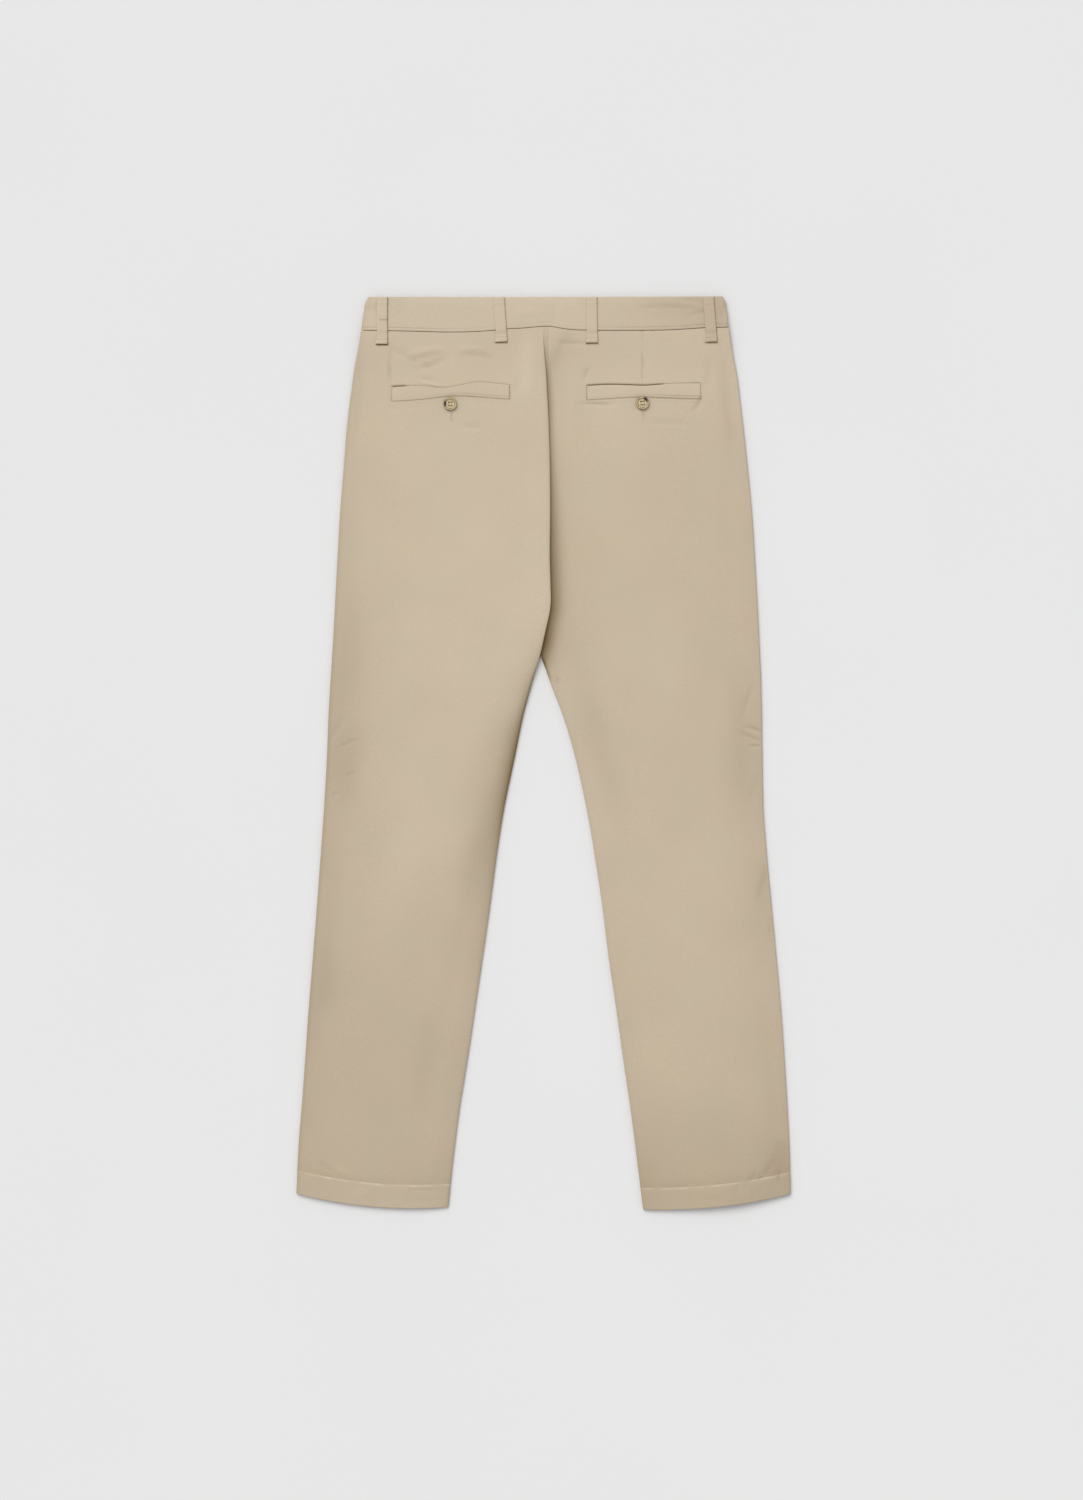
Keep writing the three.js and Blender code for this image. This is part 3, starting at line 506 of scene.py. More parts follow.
def pocketDip(side, x, y):
    # the seat sinks a little under the welt, and more along the open part of the mouth
    low, high = pocketLines(side, x)
    inside = soft(low - 0.9, low + 0.5, y) * soft(high + 1.0, high - 0.4, y) * pocketEnds(side, x, 1.1)
    mouth = bell(y - high - 0.2, 1.0) * mouthOpen(side, x) * pocketEnds(side, x, 0.5)
    lip = bell(y - low + 2.3, 1.4) * pocketEnds(side, x, 3)
    brow = bell(y - high - 3.4, 1.8) * pocketEnds(side, x, 3)
    deep = pocketRelief
    return -deep["inside"] * inside - deep["mouth"] * mouth + deep["lip"] * lip + deep["brow"] * brow


# A dart's seam from the waistband to each welt, and the seat's seam where it shows
darts = [
    {"x": 113.6, "width": 0.8, "from": 427, "to": 434, "depth": 0.4},
    {"x": -107, "width": 1.2, "from": 430, "to": 450, "depth": 0.16},
    {"x": 5.9, "width": 0.8, "from": 446, "to": 458, "depth": 0.35},
]


def dartDip(x, y):
    return -sum(d["depth"] * bell(x - d["x"], d["width"]) * soft(d["from"], d["to"], y) for d in darts)


def hemLine(side):
    # the height of the hem's upper edge, where it is sewn
    return cut["bottom"] + hem[side]["depth"]


def paintedLineShading(side, x, y, rowY):
    # painted shade in the slits and along the sewn edges of the pockets, a painted highlight along the hem's
    # upper edge with painted shade just above it, and painted light on the hem below
    low, high = pocketLines(side, x)
    within = pocketEnds(side, x, 0.6)
    mouth = mouthPaintedShade(side, x) * bell(y - high - 0.1, 0.75) * within
    sewn = pocketPaintedShade["under"] + pocketPaintedShade["tight"] * sewnTight(side, x)
    under = sewn * bell(y - low + 0.5, 0.8) * within
    first, last = pocketReach(side)
    between = soft(low - 1, low, y) * soft(high + 1, high, y)
    ends = (pocketPaintedShade["first"] * bell(x - first, 0.8) + pocketPaintedShade["last"] * bell(x - last, 0.8)) * between
    at = rowY - hemLine(side)
    uneven = 0.75 + 0.4 * np.sin(x / 8 + 1) + 0.3 * np.sin(x / 3.1)
    paintedHemHighlight = 0.19 * bell(at - 0.4, 1.1) * uneven - 0.09 * bell(at - 2.4, 0.9) * uneven
    tone = mouth + under + ends + 0.03 * bell(at - 6, 5) - 0.035 * soft(1, -1, at) - paintedHemHighlight
    # the painted shadow under each loop's foot, and the buttonhole below each button
    for loop in loops.values():
        if loop["face"] > 0:
            strength = 1.1 if "dentY" in loop else 0.9
            atFoot = bell(y - loopFoot(loop) + 1.3, 1.0)
            tone = tone + strength * atFoot * soft(7.8, 6.4, np.abs(x - loop["x"] + 0.6))
    buttonX, buttonY = pockets[side]["button"]
    slit = soft(buttonY - 18.5, buttonY - 17, y) * soft(buttonY - 8, buttonY - 10, y)
    return tone + buttonhole["tone"] * bell(x - buttonX - buttonhole["aside"], 1.1) * slit


def hemStep(side, x, rowY):
    # the hem is thicker than the leg, and its stitching pulls the cloth in along a line
    at = rowY - hemLine(side)
    wobble = 0.5 * np.sin(x / 17) + 0.3 * np.sin(x / 7.3 + 1)
    step = 0.75 * soft(1.6, -0.5, at + 0.3 * wobble)
    pulled = 0.4 * bell(at + 0.9, 0.7) * (0.6 + 0.4 * np.sin(x / 2.9 + 2 * wobble))
    ripple = (0.1 * np.sin(x / 3.3) + 0.12 * np.sin(x / 6.1 + 2)) * bell(at + 3, 8)
    return step - pulled + ripple


creaseDepth = {"seat": 2.4, "leg": 1.4, "seam": 2.0, "band": 1.6}


def backRelief(side, x, y, rowY):
    relief = creaseDepth["seat"] * creaseRise(x, y, seatCreases)
    relief = relief + creaseDepth["leg"] * creaseRise(x, y, legWaves)
    relief = relief + creaseDepth["seam"] * creaseRise(x, y, seamPuckers)
    relief = relief * soft(cut["waist"], cut["waist"] - 8, rowY)
    return relief + pocketDip(side, x, y) + dartDip(x, y) + hemStep(side, x, rowY)


def backFacing(side, x, y):
    # the height of the seat side's outer face at a point, without the dip of its pocket
    relief = backRelief(side, x, y, y) - pocketDip(side, x, y)
    return backHeight(side, y, x) + relief + cloth["back"] / 2


def hemLift(side, x, y):
    if side == "left":
        return 0 * x
    lifted = hem["lifted"]
    return lifted["height"] * bell(x - lifted["x"], lifted["spread"]) * soft(-455, -525, y)


def addObject(name, data):
    added = bpy.data.objects.new(name, data)
    bpy.context.scene.collection.objects.link(added)
    return added


# Sheets of cloth
def sheetMesh(name, points, grain, outwards, tone=None):
    # points (rows, columns, 3) and grain (rows, columns, 2); outwards: where the outer faces look
    rows, across = points.shape[:2]
    index = np.arange(rows * across).reshape(rows, across)
    faces = np.stack([index[:-1, :-1], index[1:, :-1], index[1:, 1:], index[:-1, 1:]], -1).reshape(-1, 4)
    corner = points.reshape(-1, 3)
    normal = np.cross(corner[faces[:, 2]] - corner[faces[:, 0]], corner[faces[:, 3]] - corner[faces[:, 1]])
    if float(normal.sum(0) @ np.array(outwards)) < 0:
        faces = faces[:, ::-1]
    mesh = bpy.data.meshes.new(name)
    mesh.from_pydata((corner * mm).tolist(), [], faces.tolist())
    map2d = mesh.uv_layers.new(name="grain")
    map2d.data.foreach_set("uv", (grain.reshape(-1, 2)[faces.reshape(-1)] * mm).ravel())
    tones = np.zeros(len(corner)) if tone is None else tone.reshape(-1)
    shade = mesh.attributes.new(name="tone", type="FLOAT", domain="POINT")
    shade.data.foreach_set("value", tones.astype(np.float32))
    mesh.polygons.foreach_set("use_smooth", [True] * len(faces))
    return addObject(name, mesh)


def makeActive(piece):
    bpy.ops.object.select_all(action="DESELECT")
    piece.select_set(True)
    bpy.context.view_layer.objects.active = piece


def applyModifier(piece, kind, **settings):
    makeActive(piece)
    modifier = piece.modifiers.new(kind.title(), kind)
    for key, value in settings.items():
        setattr(modifier, key, value)
    bpy.ops.object.modifier_apply(modifier=modifier.name)


def finishSheet(piece, node, material, wall):
    applyModifier(piece, "SOLIDIFY", thickness=wall * mm, offset=0, use_rim=True)
    piece.data.materials.append(material)
    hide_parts(node)
    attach(piece, "root")


def edgeRun(x, z, towards, radius, turn, tuck, face, wall, arcSteps, tuckSteps):
    # from a flat run, round an arc, to a straight tuck; x, z, radius, turn and tuck are columns
    start = x - towards * (radius + wall / 2) * np.sin(np.minimum(turn, quarter))
    ahead = -1.5 + np.zeros_like(x)
    arc = np.linspace(0, 1, arcSteps)[None, :] * radius * turn
    parts = [ahead, arc]
    if tuckSteps:
        steps = np.linspace(0, 1, tuckSteps + 1)[None, 1:]
        parts.append(radius * turn + steps * np.maximum(tuck, 0.02 * tuckSteps))
    s = np.concatenate(parts, 1)
    angle = np.clip(s / radius, 0, turn)
    straight = np.where(s < 0, s, np.maximum(s - radius * turn, 0))
    px = start + towards * (radius * np.sin(angle) + straight * np.cos(angle))
    pz = z - face * (radius * (1 - np.cos(angle)) + straight * np.sin(angle))
    return px, pz, towards * np.sin(angle), face * np.cos(angle) + 0 * px


def spaced(start, end, coarse, fine=()):
    # values from start to end, coarse apart, and closer in each (from, to, spacing) stretch
    marks = sorted({start, end, *[v for a, b, _ in fine for v in (a, b)]})
    values = []
    for a, b in zip(marks, marks[1:]):
        step = min([s for lo, hi, s in fine if lo <= a and b <= hi] + [coarse])
        values += list(np.linspace(a, b, max(1, math.ceil((b - a) / step - 1e-6)), endpoint=False))
    return np.array(values + [end])


def hemRows(ys, depth):
    # rows that go on past the hem's edge, round it and up inside: their Y, and their inset
    radius = hem["foldRadius"]
    turned = np.linspace(0, math.pi, 7)[1:]
    inside = np.array([3, 8, 13, 18, depth - 1.5])
    edge = cut["bottom"] + radius
    ys = np.where(ys < edge, edge, ys)
    y = np.concatenate([ys, edge - radius * np.sin(turned), edge + inside])
    inset = np.concatenate([0 * ys, radius * (1 - np.cos(turned)), 2 * radius + 0 * inside])
    return y, inset


def joinRuns(outer, middle, inner):
    # one row of columns from the outer edge's end, over the middle, to the inner edge's end
    return [np.concatenate([a[:, ::-1], b, c], 1) for a, b, c in zip(outer, middle, inner)]


# The stretches across the seat whose columns are closer: (from, to, spacing), as shares of its width
closer = {
    "left": [
        (0.035, 0.13, 0.008), (0.2, 0.215, 0.0035), (0.5, 0.515, 0.004),
        (0.8, 0.816, 0.0035), (0.94, 1.0, 0.006),
    ],
    "right": [
        (0.01, 0.07, 0.008), (0.184, 0.2, 0.0035), (0.468, 0.492, 0.0035),
        (0.754, 0.77, 0.0035), (0.88, 0.98, 0.006),
    ],
}


def backPanel(side, material):
    stitchedAt = hemLine(side)
    # rows are closer at the pockets, under the waistband, at the knees and along the hem
    fine = [(396, 430, 1.2), (403, 412, 0.6), (419, 428, 0.6), (478, 486.25, 1.2), (-52, 30, 1.5)]
    fine += [(467.5, 473.5, 0.75), (stitchedAt - 3, stitchedAt + 3.4, 0.7), (-525.0, -523, 0.6)]
    ys = spaced(cut["bottom"], cut["waist"] - 0.25, 4.0, fine)[::-1]
    rows, inset = hemRows(ys, hem[side]["depth"])
    y, inset = rows[:, None], inset[:, None]
    wall, towards = cloth["back"], 1 if side == "left" else -1
    outerX, innerX = line(side, "outer", y), line(side, "inner", y)
    radius = sideHeight(y) - seamHeight(y) - 0.15
    outer = edgeRun(outerX, sideHeight(y), -towards, radius, quarter + 0 * y, 0 * y, 1, wall, 7, 0)
    top = backHeight(side, y, innerX)
    if side == "left":
        folded = soft(cut["crotch"] - 28, cut["crotch"] - 1, y)
        turned = soft(cut["waist"] - 19, cut["waist"] - 42, y)
        turn = mix(quarter, 2 * quarter, folded)
        under = mix(cut["seam"] + 0.15, cut["foldTop"] - 2 * cut["foldRadius"] - wall / 2, folded)
        rolled = (top - under + wall / 2 * np.cos(turn)) / (1 - np.cos(turn))
        radius = np.where(turned < 1, cut["foldRadius"], rolled)
        turn = mix(0.3, turn, turned)
        tuck = np.maximum(line(side, "tuck", y), 0) * turned**3 * folded
        inner = edgeRun(innerX, top, 1, radius, turn, tuck, 1, wall, 11, 5)
    else:
        rolled = soft(cut["crotch"] + 2, cut["crotch"] - 24, y)
        radius = mix(0.8, top - cut["seam"] - 0.15, rolled)
        inner = edgeRun(innerX, top, -1, radius, mix(0.3, quarter, rolled), 0 * y, 1, wall, 9, 0)
    start, end = outer[0][:, :1], inner[0][:, :1]
    flatX = start + (end - start) * spaced(0.0, 1.0, 0.0135, closer[side])[1:-1][None, :]
    flat = [flatX, backHeight(side, y, flatX), 0 * flatX, 1 + 0 * flatX]
    x, z, nx, nz = joinRuns(outer, flat, inner)
    share = np.clip((x - outerX) / (innerX - outerX), 0, 1)
    placeY = y + sweep(side, y, x, share, True)
    nearEdge = np.ones(x.shape[1])
    nearEdge[:outer[0].shape[1]] = np.linspace(0, 1, outer[0].shape[1])
    nearEdge[-inner[0].shape[1]:] = np.linspace(1, 0, inner[0].shape[1]) ** 2
    relief = backRelief(side, x, placeY, y + 0 * x) * nearEdge[None, :] - inset
    points = np.stack([x + nx * relief, placeY, z + nz * relief + hemLift(side, x, y)], -1)
    tone = paintedShadeOf(side, x, placeY, share, np.abs(innerX - outerX)) + paintedLineShading(side, x, placeY, y)
    grain = np.stack([share * 230 + 0 * y, y + 0 * x], -1)
    piece = sheetMesh(f"seat_{side}", points, grain, (0, 0, 1), tone)
    finishSheet(piece, f"back_{side}", material, wall)


# The front, which the garment lies on
frontCreases = [
    {"x": -150, "y": 200, "turn": 86, "length": 240, "width": 3, "rise": 0.25},
    {"x": -180, "y": -250, "turn": 82, "length": 380, "width": 3, "rise": 0.25},
    {"x": 150, "y": 190, "turn": 92, "length": 240, "width": 3, "rise": 0.25},
    {"x": 180, "y": -250, "turn": 98, "length": 380, "width": 3, "rise": 0.25},
    {"x": -60, "y": 130, "turn": 40, "length": 90, "width": 4, "rise": 0.35, "bow": 3},
    {"x": 60, "y": 130, "turn": 140, "length": 90, "width": 4, "rise": 0.35, "bow": -3},
    {"x": -40, "y": 160, "turn": 20, "length": 60, "width": 3, "rise": 0.3, "bow": 2},
    {"x": 48, "y": 165, "turn": 158, "length": 60, "width": 3, "rise": 0.3, "bow": -2},
    {"x": -205, "y": 20, "turn": 70, "length": 70, "width": 4, "rise": 0.35, "bow": 2},
    {"x": 215, "y": 10, "turn": 112, "length": 80, "width": 4, "rise": 0.35, "bow": -2},
]
frontPocket = {"atWaist": 46.0, "bottom": 325.0, "facingUnder": 16.0}
fly = {"stepFlat": 21.5, "stepEnd": 29.5, "stitch": 33.0, "curveFrom": 335.0, "bend": 64.0}


def slantInset(y):
    low = frontPocket["bottom"]
    return frontPocket["atWaist"] * np.clip((y - low) / (cut["waist"] - low), 0, 1)


def middleLine(y):
    return mix(-2.9, cut["flyMiddle"], (y - cut["crotch"]) / (cut["waist"] - cut["crotch"]))


def frontPanel(side, material):
    stitchedAt = hemLine(side)
    fine = [(440, 486.25, 2.4), (280, 330, 3), (stitchedAt - 3, stitchedAt + 3, 1.2)]
    ys = spaced(cut["bottom"], cut["waist"] - 0.25, 4.2, fine)[::-1]
    rows, inset = hemRows(ys, hem[side]["depth"])
    y, inset = rows[:, None], inset[:, None]
    wall, towards = cloth["front"], 1 if side == "left" else -1
    z = frontLift(y) + wall / 2 + 0.05
    radius = cut["seam"] - 0.15 - wall / 2 + 0 * y
    atSlant = soft(frontPocket["bottom"] - 25, frontPocket["bottom"], y)
    outerX = line(side, "outer", y) + towards * slantInset(y)
    outer = edgeRun(outerX, z, -towards, radius, mix(quarter, 0.2, atSlant), 0 * y, -1, wall, 6, 0)
    inFly = soft(cut["flyBottom"], cut["flyBottom"] + 20, y)
    seam = middleLine(y) - towards * 0.15 + inFly * (5 if side == "left" else -15)
    innerX = np.where(y >= cut["crotch"], seam, line(side, "inner", y))
    raised = 0 if side == "left" else 1.3 * soft(cut["flyBottom"] - 22, cut["flyBottom"] - 4, y)
    turn = mix(0.2, quarter, soft(cut["crotch"] + 2, cut["crotch"] - 24, y))
    inner = edgeRun(innerX, z + raised, towards, radius, turn, 0 * y, -1, wall, 6, 0)
    start, end = outer[0][:, :1], inner[0][:, :1]
    flatX = start + (end - start) * spaced(0.0, 1.0, 0.018, [(0.84, 0.94, 0.009)])[1:-1][None, :]
    step = soft(fly["stepEnd"], fly["stepFlat"], np.abs(innerX - flatX))
    x, zs, nx, nz = joinRuns(outer, [flatX, z + raised * step, 0 * flatX, -1 + 0 * flatX], inner)
    lineOuter, lineInner = line(side, "outer", y), line(side, "inner", y)
    share = np.clip((x - lineOuter) / (lineInner - lineOuter), 0, 1)
    placeY = y + sweep(side, y, x, share, False)
    dent = creaseRise(x, placeY, frontCreases) + 0.4 * soft(stitchedAt - 0.6, stitchedAt + 1.6, y)
    relief = -np.maximum(0, dent) - inset
    points = np.stack([x + nx * relief, placeY, zs + nz * relief + hemLift(side, x, y)], -1)
    tone = paintedShadeOf(side, x, placeY, share, np.abs(lineInner - lineOuter))
    grain = np.stack([share * 230 + 0 * y, y + 0 * x], -1)
    piece = sheetMesh(f"front_cloth_{side}", points, grain, (0, 0, -1), tone)
    finishSheet(piece, f"front_{side}", material, wall)


def pocketFacing(side, material):
    towards = 1 if side == "left" else -1
    y = spaced(305, cut["waist"] - 0.25, 4)[::-1][:, None]
    startX = line(side, "outer", y) + towards * 2
    x = startX + towards * (slantInset(y) + frontPocket["facingUnder"]) * np.linspace(0, 1, 14)[None, :]
    points = np.stack([x, y + 0 * x, frontLift(y) + 1.75 + 0 * x], -1)
    grain = np.stack([x, y + 0 * x], -1)
    piece = sheetMesh(f"pocket_side_{side}", points, grain, (0, 0, -1))
    node, flat = f"pocket_facing_{side}", (0.085, 0.183)
    finishSheet(piece, node, material, cloth["facing"])


# The waistband: a strip folded along its top edge, round the waist from one front end to the other
band = {
    "lap": 12.0, "under": -22.0, "clear": 2.0, "ramp": 8.0,
    "foldRadius": 0.42,
    "leftAtSeam": -209.6, "rightAtSeam": 212.8,
    "leftAtTop": -204.6, "rightAtTop": 209.0,
    "topInset": 1.3,
    "topTilt": 0.0045,  # the top edge lies a little higher on the right
    "stitch": 3.2,  # the edge stitching's distance from the seam
    "ply": 0.8, "lapStep": 1.9,
}
bandCreases = [
    {"x": -196, "y": 511, "turn": 14, "length": 22, "width": 4, "rise": -0.5},
    {"x": -171, "y": 514, "turn": 84, "length": 16, "width": 5, "rise": -0.4},
    {"x": 128, "y": 512, "turn": 3, "length": 40, "width": 3.2, "rise": -0.5, "bow": 1},
    {"x": 158, "y": 511, "turn": -4, "length": 40, "width": 2.4, "rise": -0.6, "bow": 1},
    {"x": 172, "y": 520, "turn": -12, "length": 26, "width": 2.4, "rise": -0.6},
    {"x": 180, "y": 506, "turn": 12, "length": 22, "width": 2.6, "rise": -0.6},
    {"x": 209, "y": 512, "turn": 70, "length": 26, "width": 3, "rise": -0.5},
    {"x": 12, "y": 504, "turn": 86, "length": 30, "width": 2.2, "rise": -0.3},
    {"x": -20, "y": 506, "turn": 2, "length": 30, "width": 4.2, "rise": 0.3},
]
# Patches of painted shade on the waistband
bandPaintedShade = [
    {"x": 150, "y": 512, "turn": 0, "length": 90, "width": 9, "rise": 0.05},
    {"x": 196, "y": 508, "turn": 80, "length": 50, "width": 12, "rise": 0.06},
    {"x": -186, "y": 512, "turn": 80, "length": 30, "width": 6, "rise": 0.06},
    {"x": -166, "y": 512, "turn": 70, "length": 24, "width": 4, "rise": 0.05},
]


def bandEnds(across):
    left = mix(band["leftAtSeam"], band["leftAtTop"], across**1.1) + 2.4 * soft(0.84, 1, across)
    right = mix(band["rightAtSeam"], band["rightAtTop"], across**1.3) - 1.8 * soft(0.88, 1, across)
    return left, right


def bandRing(across, counts):
    # the ring's middle line at one height, as columns x, z, nx, nz
    left, right = bandEnds(across)
    radius = cut["bandStack"] / 2 - band["ply"]
    low = cut["bandLift"] + band["ply"]
    high = low + 2 * radius
    outside = cut["bandStack"] / 2
    lap, under = cut["flyMiddle"] + band["lap"], cut["flyMiddle"] + band["under"]
    stepAt = lap + band["clear"]
    path = [(x, low, 0, -1) for x in np.linspace(lap, left + outside, counts["under"])]
    for angle in np.linspace(-quarter, -3 * quarter, counts["turn"])[1:-1]:
        cosine, sine = math.cos(angle), math.sin(angle)
        path.append((left + outside + radius * cosine, low + radius + radius * sine, cosine, sine))
    path += [(x, high, 0, 1) for x in np.linspace(left + outside, right - outside, counts["over"])]
    for angle in np.linspace(quarter, -quarter, counts["turn"])[1:-1]:
        cosine, sine = math.cos(angle), math.sin(angle)
        path.append((right - outside + radius * cosine, low + radius + radius * sine, cosine, sine))
    path += [(x, low, 0, -1) for x in np.linspace(right - outside, stepAt + band["ramp"], counts["under"])]
    for t in np.linspace(0, 1, 6)[1:]:
        height = low + band["lapStep"] * float(soft(0, 1, t))
        path.append((mix(stepAt + band["ramp"], stepAt, t), height, 0, -1))
    path += [(x, low + band["lapStep"], 0, -1) for x in np.linspace(stepAt, under, 8)[1:]]
    return np.array(path)


def towardsEnds(x):
    # the edge stitching shows more towards each end: how far a place is to the left, and to the right
    return soft(-60, -140, x), soft(30, 110, x)


def bandRelief(x, y, up, height):
    # the band dips at its seam, has a fine line of edge stitching, and rolls over at the top
    topRoll = -0.9 * (np.clip(up - (height - 13), 0, None) / 13) ** 2
    toLeft, toRight = towardsEnds(x)
    strong = 0.3 + 0.7 * toLeft + 0.6 * toRight
    stitched = -0.35 * bell(up - band["stitch"], 0.5) * strong
    strip = 0.2 * soft(3.0, 2.2, up) * strong
    creased = creaseDepth["band"] * creaseRise(x, y, bandCreases)
    creased = creased * soft(0, 4, up) * soft(height, height - 3, up)
    return topRoll + stitched + strip + creased


def waistband(material):
    # rows: the outer ply from the seam to the top edge, round the edge, and down the inner ply
    radius = band["foldRadius"]
    rows = [(a, radius, 0.0) for a in spaced(0.0, 1.0, 0.05, [(0.0, 0.12, 0.0115)])]
    for angle in np.linspace(0, math.pi, 7)[1:-1]:
        rows.append((1.0, radius * math.cos(angle), radius * math.sin(angle)))
    rows += [(a, -radius, 0.0) for a in np.linspace(1, 0.02, 8)]
    grid, grain, tones = [], [], []
    for across, offset, past in rows:
        x, z, nx, nz = bandRing(across, {"under": 60, "turn": 9, "over": 210}).T
        left = bandEnds(across)[0]
        isTop = soft(4.0, 7.0, z)
        seam = cut["waist"] + 0.35 + seamRise(x) * isTop
        topEdge = cut["top"] - radius - band["topInset"] + band["topTilt"] * (x - 100) * isTop
        y = mix(seam, topEdge, across) + past
        up = across * (topEdge - seam)
        relief = bandRelief(x, y, up, topEdge - seam) * isTop
        rolled = -0.45 * bell(up, 0.8) if offset > 0 else 0
        lift = offset + relief + rolled
        grid.append(np.stack([x + nx * lift, y, z + nz * lift], -1))
        walked = np.concatenate([[0], np.cumsum(np.hypot(np.diff(x), np.diff(z)))])
        grain.append(np.stack([walked, y], -1))
        # painted shade: darker towards the right end and at the left end, in the creases, and along the
        # stitching line
        paintedBandShade = 0.14 * soft(20, 205, x) + 0.13 * bell(x - left, 4) - 0.06 * creaseRise(x, y, bandCreases)
        sewn = (0.04 + 0.1 * sum(towardsEnds(x))) * bell(up - band["stitch"], 0.8)
        tones.append((paintedBandShade + sewn + creaseRise(x, y, bandPaintedShade)) * isTop)
    points = np.array(grid)
    piece = sheetMesh("waistband_strip", points, np.array(grain), (0, 0, 1), np.array(tones))
    finishSheet(piece, "waistband", material, cloth["band"])


# Belt loops: a narrow strip whose two ends are folded under and sewn down. shelf is how far the
# foot's left end juts out, and dentY the height of the one loop's dent.
loops = {
    "belt_loop_back_left_side": {
        "x": -185.2, "length": 55.5, "tilt": 0.0, "face": 1, "shelf": 0.8, "dentY": 497.5,
    },
    "belt_loop_back_left": {"x": -47.5, "length": 53.0, "tilt": 4.2, "face": 1, "shelf": 1.8},
    "belt_loop_back_right": {"x": 56.3, "length": 54.0, "tilt": 1.0, "face": 1, "shelf": 0.6},
    "belt_loop_back_right_side": {"x": 193.8, "length": 53.0, "tilt": 4.6, "face": 1, "shelf": 0.4},
    "belt_loop_front_left": {"x": -104.0, "length": 53.0, "tilt": 0.0, "face": -1, "shelf": 0.4},
    "belt_loop_front_right": {"x": 112.0, "length": 53.0, "tilt": 0.0, "face": -1, "shelf": 0.4},
}
loopSize = {"width": 13.0, "folded": 6.5, "foldRadius": 0.42, "topInset": 1.6, "footInset": 0.6}


def loopFoot(loop):
    return cut["top"] - loop["length"] + loopSize["footInset"]


def loopBase(loop):
    # the height of what a loop lies on, at a Y
    if loop["face"] > 0:
        overBand = cut["bandLift"] + cut["bandStack"]
        side = "left" if loop["x"] < 0 else "right"

        def base(y):
            seat = float(backFacing(side, np.array([loop["x"]]), np.array([min(y, cut["waist"] - 1)]))[0])
            rolled = 0.9 * max(0, (y - (cut["top"] - 13.5)) / 13) ** 2
            return overBand - rolled if y > cut["waist"] else mix(seat, overBand, float(soft(482, 487, y)))

        return base
    return lambda y: mix(float(frontLift(min(y, cut["waist"]))), cut["bandLift"], float(soft(483, 487, y)))


def loopProfile(loop):
    # the strip's middle line as (y, z, ny, nz), from the end folded under at the top to the one
    # folded under at the foot
    face, radius, base = loop["face"], loopSize["foldRadius"], loopBase(loop)
    top, foot = cut["top"] - loopSize["topInset"], loopFoot(loop)
    under = 0.1 + cloth["loop"] / 2
    lifted = under + 2 * radius
    bulge = 0.15 if face > 0 else 0.1
    path = []

    def put(y, height, ny, nz):
        path.append((y, base(y) + face * height, ny, face * nz))

    def putArc(middle, angles):
        for angle in angles:
            cosine, sine = math.cos(angle), math.sin(angle)
            put(middle + radius * cosine, under + radius * (1 + sine), cosine, sine)

    for t in np.linspace(0, 1, 5)[:-1]:
        put(mix(top - radius - loopSize["folded"], top - radius, t), under, 0, -1)
    putArc(top - radius, np.linspace(-quarter, quarter, 7))
    for t in np.linspace(0, 1, 54)[1:-1]:
        y = mix(top - radius, foot + radius, t)
        middle = float(soft(top - 4, top - 14, y) * soft(foot + 5, foot + 13, y))
        dent = -0.6 * bell(y - loop["dentY"], 1.2) if "dentY" in loop else 0
        sewn = -0.5 * bell(y - foot - 4.4, 0.8) - 0.3 * bell(y - top + 4.5, 1.0)
        sunk = -0.55 * float(soft(top - 6, top - 10, y) * soft(foot + 5, foot + 8, y))
        put(y, lifted + bulge * middle + dent + sewn + sunk, 0, 1)
    putArc(foot + radius, np.linspace(quarter, 3 * quarter, 7))
    for t in np.linspace(0, 1, 5)[1:]:
        put(mix(foot + radius, foot + radius + loopSize["folded"], t), under, 0, -1)
    return np.array(path)


def loopPlace(loop, localX, y):
    # a point of a straight loop, turned about its foot
    turn, foot = math.radians(loop["tilt"]), cut["top"] - loop["length"]
    x = loop["x"] + localX * math.cos(turn) - (y - foot) * math.sin(turn)
    return x, foot + localX * math.sin(turn) + (y - foot) * math.cos(turn)


def beltLoop(name, material):
    loop = loops[name]
    profile = loopProfile(loop)
    if loop["face"] < 0:
        profile[:, 1] = np.maximum(profile[:, 1], cloth["loop"] / 2 + 0.02)
    across = np.linspace(-1, 1, 13)
    crown = -0.25 * np.abs(across) ** 5
    foot = cut["top"] - loop["length"]
    grid, grain, tones = [], [], []
    for y, z, ny, nz in profile:
        flare = 0.35 * math.exp(-(((y - foot - 2) / 2.5) ** 2))
        localX = across * (loopSize["width"] / 2 - 0.3 + flare)
        localX = localX - loop["shelf"] * bell(y - foot - 1.8, 2.2) * np.clip(-across, 0, 1) ** 2
        x, py = loopPlace(loop, localX, y + ny * crown)
        grid.append(np.stack([x, py, z + nz * crown], -1))
        grain.append(np.stack([localX, y + 0 * localX], -1))
        # painted shade in the one loop's dent, a painted shadow along each back loop's right rim and painted
        # light along its left rim, and painted shade darker towards the right as on the waistband
        tone = 0 * localX
        if "dentY" in loop:
            tone = tone + 0.35 * bell(y - loop["dentY"], 1.0) * soft(-5, -1, localX)
        if loop["face"] > 0:
            rim = 0.8 if "dentY" in loop else 0.4
            tone = tone + 0.16 * float(soft(20, 205, loop["x"]))
            tone = tone + rim * soft(5.0, 6.2, localX) - 0.1 * soft(-5.0, -6.2, localX)
        tones.append(tone)
    points = np.array(grid)
    short = name.replace("belt_loop", "loop_strip")
    piece = sheetMesh(short, points, np.array(grain), (0, 0, loop["face"]), np.array(tones))
    finishSheet(piece, name, material, cloth["loop"])


weltSize = {"foldRadius": 0.3, "edgeLine": 2.7}


